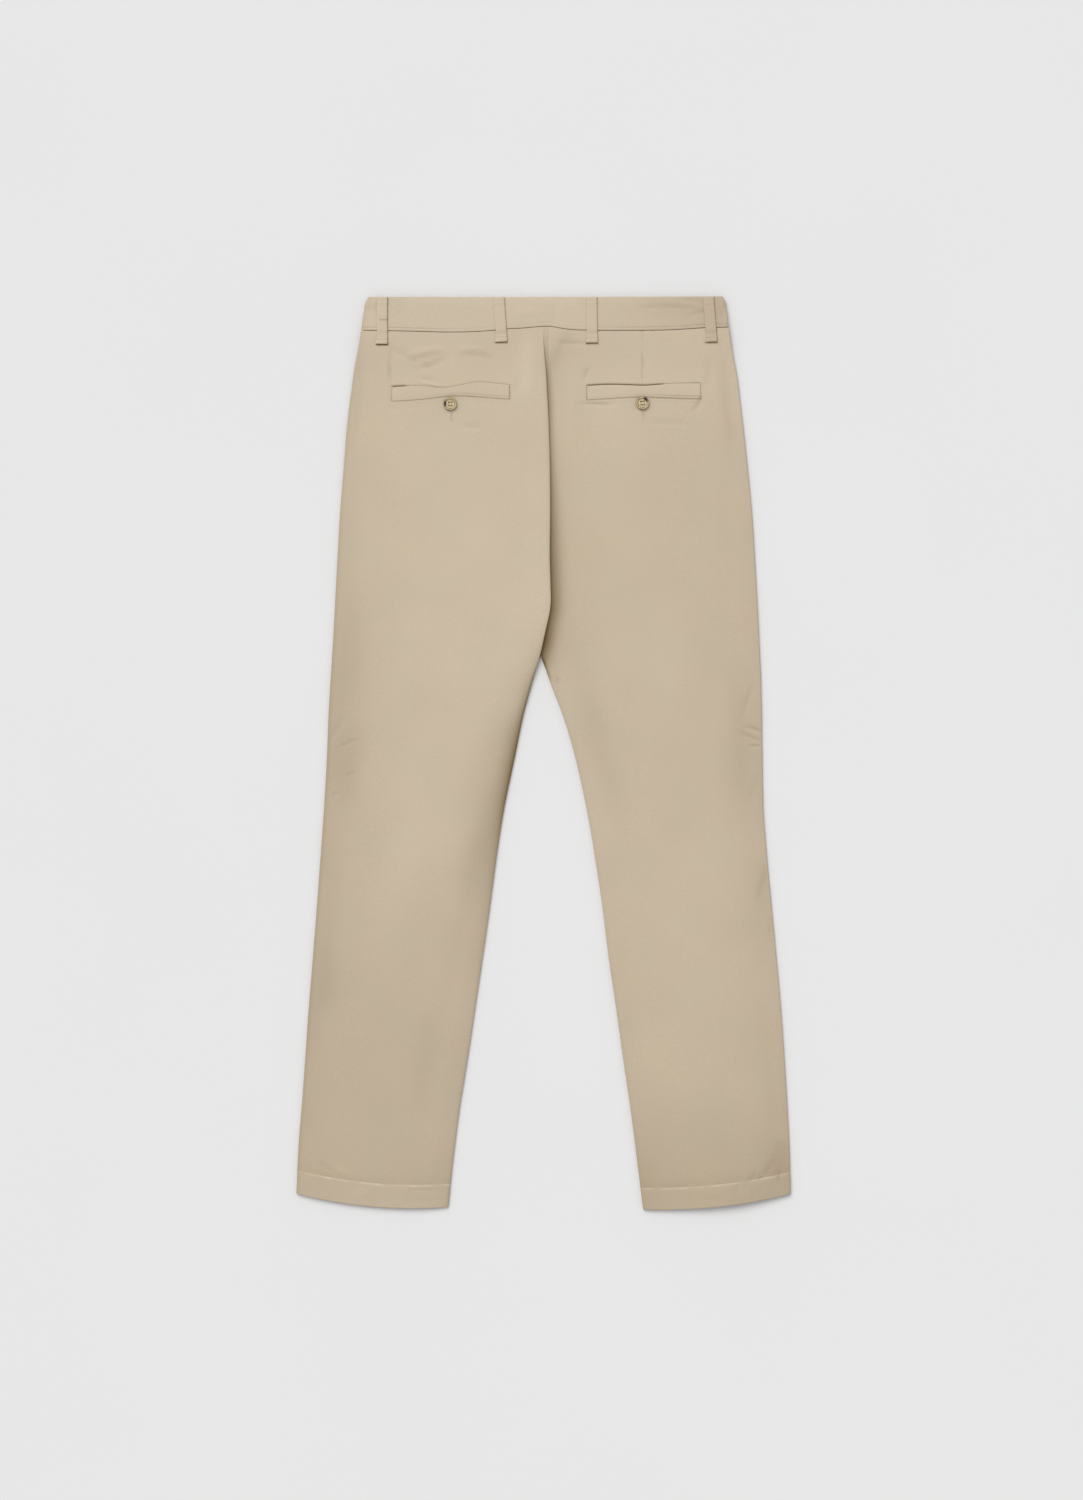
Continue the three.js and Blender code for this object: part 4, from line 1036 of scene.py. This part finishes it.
def welt(side, material):
    # a strip folded along the pocket's mouth, its lower edge sewn in
    first, last = pocketReach(side)
    x = spaced(first + 0.3, last - 0.3, 1.4)
    low, high = pocketLines(side, x)
    gape = mouthOpen(side, x) * pockets[side]["gape"]
    high, low = high - 0.3 - 0.5 * gape, low + 0.25
    edge = soft(x[0], x[0] + 1.1, x) * soft(x[-1], x[-1] - 1.1, x)
    radius = weltSize["foldRadius"]
    rows = [(mix(low, high - radius, v), -2 * radius + 0 * x) for v in (0.25, 0.6, 1.0)]
    for angle in np.linspace(-quarter, quarter, 6)[1:-1]:
        rows.append((high - radius + radius * math.cos(angle), -radius + radius * math.sin(angle) + 0 * x))
    sewn = 0.25 + 0.75 * soft(pockets[side]["button"][0] - 12, last, x)
    for v in spaced(0.0, 1.0, 0.06, [(0.72, 1.0, 0.025)]):
        y = mix(high - radius, low, v)
        edgeLine = -0.28 * bell(y - low - weltSize["edgeLine"], 0.5) * sewn
        rows.append((y, edgeLine - 0.45 * bell(y - low, 0.7) + 0.16 * math.sin(math.pi * v)))
    grid, grain, tones = [], [], []
    for y, lift in rows:
        z = backFacing(side, x, y) + lift - 0.1 - 0.45 * (1 - edge) - cloth["welt"] / 2 + 0.3
        z = z - 0.3 * gape * bell(y - high, 2.2)
        grid.append(np.stack([x, y, z], -1))
        grain.append(np.stack([x, y], -1))
        # painted shade along the welt's sewn line and at its lower edge
        lineTone = (0.14 + 0.26 * sewnTight(side, x)) * bell(y - low - weltSize["edgeLine"], 0.7) * sewn
        tones.append(lineTone + 0.1 * bell(y - low, 0.6))
    points = np.array(grid)
    piece = sheetMesh(f"welt_strip_{side}", points, np.array(grain), (0, 0, 1), np.array(tones))
    finishSheet(piece, f"welt_{side}", material, cloth["welt"])


# Stitches: small bowed bars of thread, joined to one mesh. These are their radii.
threadSize = {"seam": 0.2, "tack": 0.24, "loop": 0.22, "button": 0.3, "shank": 0.45}


def stitchMesh(name, bars, material):
    # bars: (start, end, up, radius), all in millimetres
    rings, sides = 5, 6
    along = np.linspace(-0.5, 0.5, rings)
    thick = np.array([0.35, 0.9, 1.0, 0.9, 0.35])
    rise = np.array([-0.8, 0.1, 0.45, 0.1, -0.8])
    angles = np.arange(sides) * 2 * math.pi / sides
    verts, faces = [], []
    for start, end, up, radius in bars:
        start, end, up = np.array(start, float), np.array(end, float), np.array(up, float)
        run = end - start
        across = np.cross(up, run)
        across = across / np.linalg.norm(across)
        first = len(verts)
        for k in range(rings):
            centre = (start + end) / 2 + run * along[k] + up * rise[k] * radius
            for angle in angles:
                offset = across * math.cos(angle) + up * math.sin(angle)
                verts.append((centre + offset * radius * thick[k]) * mm)
        for k in range(rings - 1):
            for j in range(sides):
                a, b = first + k * sides + j, first + k * sides + (j + 1) % sides
                faces.append((a, a + sides, b + sides, b))
        faces.append(tuple(first + j for j in range(sides)))
        faces.append(tuple(first + (rings - 1) * sides + j for j in reversed(range(sides))))
    mesh = bpy.data.meshes.new(name)
    mesh.from_pydata([tuple(v) for v in verts], [], faces)
    mesh.polygons.foreach_set("use_smooth", [True] * len(faces))
    piece = addObject(name, mesh)
    makeActive(piece)
    bpy.ops.object.mode_set(mode="EDIT")
    bpy.ops.mesh.select_all(action="SELECT")
    bpy.ops.mesh.normals_make_consistent(inside=False)
    bpy.ops.object.mode_set(mode="OBJECT")
    piece.data.materials.append(material)
    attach(piece, "root")
    return piece


def barsAlong(path, up, pitch=2.7, length=1.9, radius=threadSize["seam"]):
    # path: a function from 0 to 1 to a point, walked at even pitch
    t = np.linspace(0, 1, 160)
    points = np.array([path(v) for v in t])
    walked = np.concatenate([[0], np.cumsum(np.linalg.norm(np.diff(points, axis=0), axis=1))])
    bars = []
    for s in np.arange(0.5, walked[-1] - length, pitch):
        ends = [[np.interp(d, walked, points[:, k]) for k in range(3)] for d in (s, s + length)]
        bars.append((*ends, up, radius))
    return bars


def hemStitches(side, isBack):
    at = hemLine(side) - 0.9
    outer, inner = float(line(side, "outer", at)), float(line(side, "inner", at))

    def path(t):
        share = mix(0.012, 0.988, t)
        x = mix(outer, inner, share)
        y = at + float(sweep(side, np.array(at), x, share, isBack))
        if isBack:
            z = float(backHeight(side, np.array(at), x) + backRelief(side, x, y, at)) + cloth["back"] / 2
            return (x, y, z + float(hemLift(side, x, at)))
        return (x, y, 0.06 + float(hemLift(side, x, at)))

    return barsAlong(path, (0, 0, 1 if isBack else -1))


def pocketStitches(side):
    bars = []
    edges = pockets[side]["edges"]
    for place, towards in ((edges[0], 1), (edges[-1], -1)):
        x = place["x"] + towards * 1.0
        low, high = pocketLines(side, x)

        def down(t, x=x, low=low, high=high):
            y = float(mix(high - 0.6, low + 0.4, t))
            return (x, y, float(backFacing(side, x, y)) + 0.08)

        bars += barsAlong(down, (0, 0, 1), 1.5, 1.2, threadSize["tack"])
    x, y = pockets[side]["button"]
    aside = x + buttonhole["aside"]

    def hole(t):
        py = mix(y - buttonhole["from"], y - buttonhole["to"], t)
        return (aside, py, float(backFacing(side, aside, py)) + 0.02)

    bars += barsAlong(hole, (0, 0, 1), 1.3, 1.0)
    for k in range(5):
        py = y - 17.4 - 0.35 * k
        z = float(backFacing(side, x, py)) + 0.1
        bars.append(((x + 0.1, py, z), (x + 1.9, py, z), (0, 0, 1), threadSize["tack"]))
    return bars


def loopStitches(name):
    loop = loops[name]
    base, bars = loopBase(loop), []
    for y in (cut["top"] - loop["length"] + 5.0, cut["top"] - 5.3):
        height = base(y) + 0.95 if loop["face"] > 0 else 0.05
        for k in range(6):
            left = -5.4 + 1.85 * k
            ends = [(*loopPlace(loop, left + d, y), height) for d in (0, 1.5)]
            bars.append((*ends, (0, 0, loop["face"]), threadSize["loop"]))
    return bars


def flyStitches():
    # the curved line of stitching on the left front, and the tacks of the slanted pockets
    def curve(t):
        straight, bend = cut["waist"] - fly["curveFrom"], fly["bend"]
        s = t * (straight + bend)
        if s < straight:
            y = cut["waist"] - 1 - s
            return (float(middleLine(y)) - fly["stitch"], y, float(frontLift(y)) + 0.06)
        angle = (s - straight) / bend * quarter
        y = fly["curveFrom"] - 1 - (fly["curveFrom"] - cut["flyBottom"]) * math.sin(angle)
        return (float(middleLine(y)) - fly["stitch"] * math.cos(angle), y, 0.06)

    bars = barsAlong(curve, (0, 0, -1))
    for side, towards in (("left", 1), ("right", -1)):

        def slant(t, side=side, towards=towards):
            y = mix(cut["waist"] - 1.5, frontPocket["bottom"] + 4, t)
            x = float(line(side, "outer", y)) + towards * (float(slantInset(y)) + 6)
            return (x, y, float(frontLift(y)) + 0.06)

        bars += barsAlong(slant, (0, 0, -1))
        for y in (cut["waist"] - 6, frontPocket["bottom"] + 6):
            x = float(line(side, "outer", y)) + towards * (float(slantInset(y)) + 1)
            z = float(frontLift(y)) + 0.05
            for k in range(6):
                py = y - 0.5 * k
                bars.append(((x, py, z), (x + towards * 5, py, z), (0, 0, -1), threadSize["tack"]))
    for k in range(12):
        y, z = 501 + k, cut["bandLift"] - 0.02
        bars.append(((-9.5, y, z), (-7.6, y, z), (0, 0, -1), threadSize["tack"]))
    return bars


# Buttons: one is modelled, with a raised rim and four holes, then copied to its places
buttonSize = {"radius": 7.6, "thickness": 2.3, "hole": 0.95, "holeOffset": 1.8, "rim": 1.5, "dish": 0.45}
buttonPlaces = {
    "button_back_left": {"x": -107.2, "y": 401.2, "z": 7.2, "face": 1, "turn": 0.0, "darkAt": (-6.1, 0.4, 0)},
    "button_back_right": {"x": 113.8, "y": 402.2, "z": 7.2, "face": 1, "turn": 0.1, "darkAt": (3.7, 4.4, 40)},
    "button_front": {"x": 3.0, "y": 506.5, "z": 2.5, "face": -1, "turn": 0.2, "darkAt": (-5, -2, 20)},
}


def pickFaces(piece, rule):
    bpy.ops.object.mode_set(mode="EDIT")
    bpy.ops.mesh.select_mode(type="FACE")
    bpy.ops.mesh.select_all(action="DESELECT")
    bpy.ops.object.mode_set(mode="OBJECT")
    for face in piece.data.polygons:
        face.select = rule(face)
    bpy.ops.object.mode_set(mode="EDIT")


def modelButton():
    b = buttonSize
    bpy.ops.object.select_all(action="DESELECT")
    bpy.ops.mesh.primitive_cylinder_add(vertices=48, radius=b["radius"] * mm, depth=b["thickness"] * mm)
    button = bpy.context.object
    button.name = "buttonModel"
    pickFaces(button, lambda face: face.normal.z > 0.9)
    bpy.ops.mesh.inset(thickness=b["rim"] * mm)
    bpy.ops.mesh.inset(thickness=0.5 * mm)
    bpy.ops.transform.translate(value=(0, 0, -b["dish"] * mm))
    bpy.ops.object.mode_set(mode="OBJECT")
    pickFaces(button, lambda face: face.normal.z < -0.9)
    bpy.ops.mesh.inset(thickness=1.2 * mm)
    bpy.ops.transform.translate(value=(0, 0, -0.25 * mm))
    bpy.ops.transform.resize(value=(0.8, 0.8, 1))
    bpy.ops.object.mode_set(mode="OBJECT")
    bevel = {"width": 0.38 * mm, "segments": 3, "limit_method": "ANGLE", "angle_limit": math.radians(25)}
    applyModifier(button, "BEVEL", **bevel)
    offset = b["holeOffset"] * mm
    holes = []
    for dx, dy in ((-1, -1), (1, -1), (1, 1), (-1, 1)):
        bpy.ops.mesh.primitive_cylinder_add(
            vertices=16, radius=b["hole"] * mm, depth=8 * mm, location=(dx * offset, dy * offset, 0)
        )
        holes.append(bpy.context.object)
    for hole in holes:
        hole.select_set(True)
    bpy.ops.object.join()
    drill = bpy.context.object
    applyModifier(button, "BOOLEAN", object=drill, operation="DIFFERENCE", solver="EXACT")
    bpy.data.objects.remove(drill)
    makeActive(button)
    bpy.ops.object.shade_smooth_by_angle(angle=math.radians(40))
    return button


def buttonThreads(place):
    # two rows of strands across the holes, and the shank that holds the button off the cloth
    b, face, bars = buttonSize, place["face"], []
    top = place["z"] + face * (b["thickness"] - b["dish"] + 0.2)
    for row in (-1, 1):
        for strand in (-0.42, 0, 0.42):
            y = place["y"] + row * b["holeOffset"] + strand
            ends = [(place["x"] + s * (b["holeOffset"] + 0.3), y, top) for s in (-1, 1)]
            bars.append((*ends, (0, 0, face), threadSize["button"]))
    for k in range(8):
        angle = k * quarter / 2
        outwards = (math.cos(angle), math.sin(angle), 0)
        x, y = place["x"] + 1.5 * outwards[0], place["y"] + 1.5 * outwards[1]
        ends = ((x, y, place["z"] - face * 1.2), (x, y, place["z"] + face * 0.9))
        bars.append((*ends, outwards, threadSize["shank"]))
    return bars


def placeButtons():
    model = modelButton()
    for name, place in buttonPlaces.items():
        piece = model.copy()
        piece.data = model.data.copy()
        piece.name = name.replace("button", "horn_button")
        bpy.context.scene.collection.objects.link(piece)
        flip = Matrix.Rotation(math.pi, 4, "Y") if place["face"] < 0 else Matrix.Identity(4)
        middle = place["z"] + place["face"] * buttonSize["thickness"] / 2
        where = Matrix.Translation((place["x"] * mm, place["y"] * mm, middle * mm))
        piece.data.transform(where @ flip @ Matrix.Rotation(place["turn"], 4, "Z"))
        piece.data.materials.clear()
        piece.data.materials.append(hornMaterial(f"horn_{name}", place))
        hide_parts(name)
        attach(piece, "root")
        stitchMesh(name.replace("button", "button_thread"), buttonThreads(place), buttonThread)
    bpy.data.objects.remove(model)


# Shared shader groups
def addNode(tree, kind, x, y, **values):
    node = tree.nodes.new(kind)
    node.location = (x, y)
    for key, value in values.items():
        setattr(node, key, value)
    return node


def newGroup(name, inputs, outputs):
    group = bpy.data.node_groups.new(name, "ShaderNodeTree")
    for label, kind in inputs:
        group.interface.new_socket(label, in_out="INPUT", socket_type=kind)
    for label in outputs:
        group.interface.new_socket(label, in_out="OUTPUT", socket_type="NodeSocketFloat")
    return group, addNode(group, "NodeGroupInput", -900, 0), addNode(group, "NodeGroupOutput", 600, 0)


def twillWeaveGroup():
    inputs = [("Vector", "NodeSocketVector"), ("Wales", "NodeSocketFloat"), ("Unevenness", "NodeSocketFloat")]
    group, entry, leave = newGroup("twillWeave", inputs, ["Height", "Yarn"])
    turned = addNode(group, "ShaderNodeMapping", -700, 100)
    turned.inputs["Rotation"].default_value = (0, 0, math.radians(63))
    wave = addNode(group, "ShaderNodeTexWave", -450, 150, wave_type="BANDS", bands_direction="X")
    wave.inputs["Distortion"].default_value = 0.6
    wave.inputs["Detail"].default_value = 1.0
    yarn = addNode(group, "ShaderNodeTexNoise", -450, -150)
    yarn.inputs["Detail"].default_value = 2.0
    yarnScale = addNode(group, "ShaderNodeMath", -650, -250, operation="MULTIPLY")
    yarnScale.inputs[1].default_value = 1.7
    uneven = addNode(group, "ShaderNodeMath", -200, -100, operation="MULTIPLY")
    height = addNode(group, "ShaderNodeMath", 100, 100, operation="ADD")
    link = group.links.new
    link(entry.outputs["Vector"], turned.inputs["Vector"])
    link(turned.outputs["Vector"], wave.inputs["Vector"])
    link(entry.outputs["Wales"], wave.inputs["Scale"])
    link(entry.outputs["Vector"], yarn.inputs["Vector"])
    link(entry.outputs["Wales"], yarnScale.inputs[0])
    link(yarnScale.outputs["Value"], yarn.inputs["Scale"])
    link(yarn.outputs["Fac"], uneven.inputs[0])
    link(entry.outputs["Unevenness"], uneven.inputs[1])
    link(wave.outputs["Fac"], height.inputs[0])
    link(uneven.outputs["Value"], height.inputs[1])
    link(height.outputs["Value"], leave.inputs["Height"])
    link(yarn.outputs["Fac"], leave.inputs["Yarn"])
    return group


def dyeVariationGroup():
    # broad, soft changes of tone in the dyed cloth, and a fine fleck
    noises = {"Patch": (9.0, 2.0, 200), "Warmth": (16.0, 1.0, 0), "Fleck": (900.0, 2.0, -200)}
    group, entry, leave = newGroup("dyeVariation", [("Vector", "NodeSocketVector")], noises)
    for name, (scale, detail, y) in noises.items():
        noise = addNode(group, "ShaderNodeTexNoise", -300, y)
        noise.inputs["Scale"].default_value = scale
        noise.inputs["Detail"].default_value = detail
        offset = addNode(group, "ShaderNodeMapping", -500, y)
        offset.inputs["Location"].default_value = (scale * 0.013, scale * 0.007, 0)
        group.links.new(entry.outputs["Vector"], offset.inputs["Vector"])
        group.links.new(offset.outputs["Vector"], noise.inputs["Vector"])
        group.links.new(noise.outputs["Fac"], leave.inputs[name])
    return group


def newMaterial(name):
    material = bpy.data.materials.new(name)
    material.use_nodes = True
    tree = material.node_tree
    return material, tree, tree.nodes["Principled BSDF"]


def colourRamp(tree, x, y, stops):
    ramp = addNode(tree, "ShaderNodeValToRGB", x, y)
    elements = ramp.color_ramp.elements
    while len(elements) < len(stops):
        elements.new(0.5)
    for element, (position, colour) in zip(elements, stops):
        element.position = position
        element.color = (*colour, 1)
    return ramp


def multiply(tree, x, y, first, second):
    node = addNode(tree, "ShaderNodeMix", x, y, data_type="RGBA", blend_type="MULTIPLY")
    node.inputs["Factor"].default_value = 1
    tree.links.new(first, node.inputs["A"])
    tree.links.new(second, node.inputs["B"])
    return node.outputs["Result"]


def khakiTwill(name, look):
    material, tree, shader = newMaterial(name)
    link = tree.links.new
    place = addNode(tree, "ShaderNodeTexCoord", -1500, 200)
    grain = addNode(tree, "ShaderNodeUVMap", -1500, -200, uv_map="grain")
    dye = addNode(tree, "ShaderNodeGroup", -1250, 200, node_tree=dyeVariation)
    weave = addNode(tree, "ShaderNodeGroup", -1250, -200, node_tree=twillWeave)
    weave.inputs["Wales"].default_value = look["wales"]
    weave.inputs["Unevenness"].default_value = 0.5
    link(place.outputs["Object"], dye.inputs["Vector"])
    link(grain.outputs["UV"], weave.inputs["Vector"])
    patch = colourRamp(tree, -1000, 300, [(0.3, look["darker"]), (0.7, look["colour"])])
    warm = colourRamp(tree, -1000, 50, [(0.35, (0.985, 1.0, 1.0)), (0.65, (1.012, 1.0, 0.99))])
    fleck = colourRamp(tree, -1000, -150, [(0.25, (0.93, 0.93, 0.925)), (0.75, (1.05, 1.05, 1.05))])
    link(dye.outputs["Patch"], patch.inputs["Fac"])
    link(dye.outputs["Warmth"], warm.inputs["Fac"])
    link(dye.outputs["Fleck"], fleck.inputs["Fac"])
    tone = addNode(tree, "ShaderNodeAttribute", -1000, 500, attribute_name="tone")
    dyed = multiply(tree, -650, 200, patch.outputs["Color"], warm.outputs["Color"])
    dyed = multiply(tree, -450, 100, dyed, fleck.outputs["Color"])
    # the tone attribute holds painted shade, which darkens the cloth towards a warm brown, and below 0
    # painted light, which makes it paler
    shaded = addNode(tree, "ShaderNodeMix", -250, 100, data_type="RGBA", blend_type="MULTIPLY")
    shaded.clamp_factor = False
    shaded.inputs["B"].default_value = (0.19, 0.12, 0.0, 1)
    link(tone.outputs["Fac"], shaded.inputs["Factor"])
    link(dyed, shaded.inputs["A"])
    link(shaded.outputs["Result"], shader.inputs["Base Color"])
    rough = addNode(tree, "ShaderNodeMapRange", -650, -150)
    rough.inputs["To Min"].default_value = look["roughness"] - 0.05
    rough.inputs["To Max"].default_value = look["roughness"] + 0.05
    link(weave.outputs["Yarn"], rough.inputs["Value"])
    link(rough.outputs["Result"], shader.inputs["Roughness"])
    bump = addNode(tree, "ShaderNodeBump", -300, -300)
    bump.inputs["Strength"].default_value = look["relief"]
    bump.inputs["Distance"].default_value = 0.0001
    link(weave.outputs["Height"], bump.inputs["Height"])
    link(bump.outputs["Normal"], shader.inputs["Normal"])
    shader.inputs["Specular IOR Level"].default_value = 0.2
    shader.inputs["Sheen Weight"].default_value = 0.08
    shader.inputs["Sheen Roughness"].default_value = 0.5
    shader.inputs["Sheen Tint"].default_value = (1.0, 0.93, 0.83, 1)
    return material


def threadMaterial(name, light, dark):
    material, tree, shader = newMaterial(name)
    place = addNode(tree, "ShaderNodeTexCoord", -900, 0)
    noise = addNode(tree, "ShaderNodeTexNoise", -700, 0)
    noise.inputs["Scale"].default_value = 420
    ramp = colourRamp(tree, -450, 0, [(0.3, dark), (0.7, light)])
    twist = addNode(tree, "ShaderNodeTexWave", -700, -300)
    twist.inputs["Scale"].default_value = 900
    bump = addNode(tree, "ShaderNodeBump", -300, -300)
    bump.inputs["Strength"].default_value = 0.3
    bump.inputs["Distance"].default_value = 0.0001
    link = tree.links.new
    link(place.outputs["Object"], noise.inputs["Vector"])
    link(place.outputs["Object"], twist.inputs["Vector"])
    link(noise.outputs["Fac"], ramp.inputs["Fac"])
    link(ramp.outputs["Color"], shader.inputs["Base Color"])
    link(twist.outputs["Fac"], bump.inputs["Height"])
    link(bump.outputs["Normal"], shader.inputs["Normal"])
    shader.inputs["Roughness"].default_value = 0.6
    return material


def hornMaterial(name, button):
    # a marbled button with one dark streak at its rim
    material, tree, shader = newMaterial(name)
    link = tree.links.new
    darkX, darkY, darkTurn = button["darkAt"]
    place = addNode(tree, "ShaderNodeTexCoord", -1300, 0)
    local = addNode(tree, "ShaderNodeMapping", -1100, 0)
    local.inputs["Location"].default_value = (-button["x"] * mm, -button["y"] * mm, 0)
    link(place.outputs["Object"], local.inputs["Vector"])
    marble = addNode(tree, "ShaderNodeTexNoise", -850, 200)
    marble.inputs["Scale"].default_value = 240
    marble.inputs["Detail"].default_value = 3
    marble.inputs["Distortion"].default_value = 1.4
    link(local.outputs["Vector"], marble.inputs["Vector"])
    marbled = [(0.3, (0.32, 0.23, 0.1)), (0.5, (0.58, 0.46, 0.26)), (0.7, (0.76, 0.64, 0.42))]
    tone = colourRamp(tree, -600, 200, marbled)
    link(marble.outputs["Fac"], tone.inputs["Fac"])
    # painted shade in the groove inside the rim and around its outer corner
    middle = addNode(tree, "ShaderNodeVectorMath", -850, 450, operation="MULTIPLY")
    middle.inputs[1].default_value = (1, 1, 0)
    fromMiddle = addNode(tree, "ShaderNodeVectorMath", -680, 450, operation="LENGTH")
    ringPlace = addNode(tree, "ShaderNodeMapRange", -520, 450)
    ringPlace.inputs["From Max"].default_value = 8 * mm
    rings = [
        (0.52, (1, 1, 1)), (0.68, (0.42, 0.35, 0.25)), (0.8, (1, 0.97, 0.92)), (0.95, (0.36, 0.28, 0.18)),
    ]
    ring = colourRamp(tree, -350, 450, rings)
    link(local.outputs["Vector"], middle.inputs[0])
    link(middle.outputs["Vector"], fromMiddle.inputs[0])
    link(fromMiddle.outputs["Value"], ringPlace.inputs["Value"])
    link(ringPlace.outputs["Result"], ring.inputs["Fac"])
    paintedGrooveShaded = multiply(tree, -200, 250, tone.outputs["Color"], ring.outputs["Color"])
    streak = addNode(tree, "ShaderNodeMapping", -850, -100, vector_type="TEXTURE")
    streak.inputs["Location"].default_value = (darkX * mm, darkY * mm, 0)
    streak.inputs["Rotation"].default_value = (0, 0, math.radians(darkTurn))
    streak.inputs["Scale"].default_value = (1.9 * mm, 3.6 * mm, 1)
    link(local.outputs["Vector"], streak.inputs["Vector"])
    far = addNode(tree, "ShaderNodeVectorMath", -450, -100, operation="LENGTH")
    link(streak.outputs["Vector"], far.inputs[0])
    edge = addNode(tree, "ShaderNodeMapRange", -250, -100)
    edge.inputs["From Min"].default_value = 0.6
    edge.inputs["From Max"].default_value = 1.15
    edge.inputs["To Min"].default_value = 1
    edge.inputs["To Max"].default_value = 0
    link(far.outputs["Value"], edge.inputs["Value"])
    both = addNode(tree, "ShaderNodeMix", -50, 100, data_type="RGBA", blend_type="MIX")
    both.inputs["B"].default_value = (0.02, 0.012, 0.007, 1)
    link(edge.outputs["Result"], both.inputs["Factor"])
    link(paintedGrooveShaded, both.inputs["A"])
    link(both.outputs["Result"], shader.inputs["Base Color"])
    shader.inputs["Roughness"].default_value = 0.42
    shader.inputs["Coat Weight"].default_value = 0.12
    shader.inputs["Coat Roughness"].default_value = 0.2
    return material


print("shader groups and materials")
twillWeave = twillWeaveGroup()
dyeVariation = dyeVariationGroup()
twillLook = {
    "colour": (0.604, 0.5, 0.376),
    "darker": (0.574, 0.475, 0.355),
    "roughness": 0.88,
    "wales": 90.0,
    "relief": 0.35,
}
twill = khakiTwill("khakiTwill", twillLook)
# a paler copy of the twill for the waistband and belt loops: painted light, the garment's top lit brighter
bandLitLook = {**twillLook, "colour": (0.612, 0.508, 0.386), "darker": (0.585, 0.485, 0.367)}
litBandTwill = khakiTwill("khakiTwillWaistbandLit", bandLitLook)
thread = threadMaterial("khakiThread", (0.64, 0.54, 0.41), (0.52, 0.43, 0.32))
buttonThread = threadMaterial("buttonThread", (0.42, 0.35, 0.25), (0.28, 0.22, 0.15))

print("panels")
for side in ("left", "right"):
    backPanel(side, twill)
    frontPanel(side, twill)
    pocketFacing(side, twill)

print("waistband and belt loops")
waistband(litBandTwill)
for name in loops:
    beltLoop(name, litBandTwill)

print("pockets")
for side in ("left", "right"):
    welt(side, twill)

print("stitches")
for side in ("left", "right"):
    stitchMesh(f"hem_stitches_{side}", hemStitches(side, True) + hemStitches(side, False), thread)
    stitchMesh(f"pocket_stitches_{side}", pocketStitches(side), thread)
stitchMesh("loop_stitches", [bar for name in loops for bar in loopStitches(name)], thread)
stitchMesh("front_stitches", flyStitches(), thread)

print("buttons")
placeButtons()


# Floor, light and camera
def studio():
    bpy.ops.object.select_all(action="DESELECT")
    bpy.ops.mesh.primitive_plane_add(size=6, location=(0, 0, -0.0003))
    floor = bpy.context.object
    floor.name = "floor"
    material, tree, shader = newMaterial("palePaper")
    place = addNode(tree, "ShaderNodeTexCoord", -700, 0)
    noise = addNode(tree, "ShaderNodeTexNoise", -500, 0)
    noise.inputs["Scale"].default_value = 3
    ramp = colourRamp(tree, -250, 0, [(0.3, (0.79, 0.79, 0.79)), (0.7, (0.796, 0.796, 0.796))])
    tree.links.new(place.outputs["Object"], noise.inputs["Vector"])
    tree.links.new(noise.outputs["Fac"], ramp.inputs["Fac"])
    tree.links.new(ramp.outputs["Color"], shader.inputs["Base Color"])
    shader.inputs["Roughness"].default_value = 0.9
    shader.inputs["Specular IOR Level"].default_value = 0.0
    floor.data.materials.append(material)

    light = {"ambient": 0.6, "key": 1.6, "spread": 42, "from": (-0.32, 0.59, 0.93)}
    world = bpy.data.worlds.new("studio")
    world.use_nodes = True
    world.node_tree.nodes["Background"].inputs["Color"].default_value = (1, 1, 1, 1)
    world.node_tree.nodes["Background"].inputs["Strength"].default_value = light["ambient"]
    bpy.context.scene.world = world
    key = bpy.data.lights.new("key", "SUN")
    key.energy = light["key"]
    key.angle = math.radians(light["spread"])
    keyObject = addObject("key", key)
    keyObject.rotation_euler = Vector(light["from"]).to_track_quat("Z", "Y").to_euler()


def photoCamera():
    # straight down; at the garment's middle height the photograph's 1500 pixels span 1725 mm
    view = {"height": 5.0, "middle": 0.005, "span": 1.725, "x": -2.3, "y": 3.45, "sensor": 36.0}
    data = bpy.data.cameras.new("camera")
    data.sensor_width = view["sensor"]
    data.lens = view["sensor"] * (view["height"] - view["middle"]) / view["span"]
    camera = addObject("camera", data)
    camera.location = (view["x"] * mm, view["y"] * mm, view["height"])
    bpy.context.scene.camera = camera


print("studio")
studio()
photoCamera()
bpy.context.scene.view_settings.view_transform = "Standard"
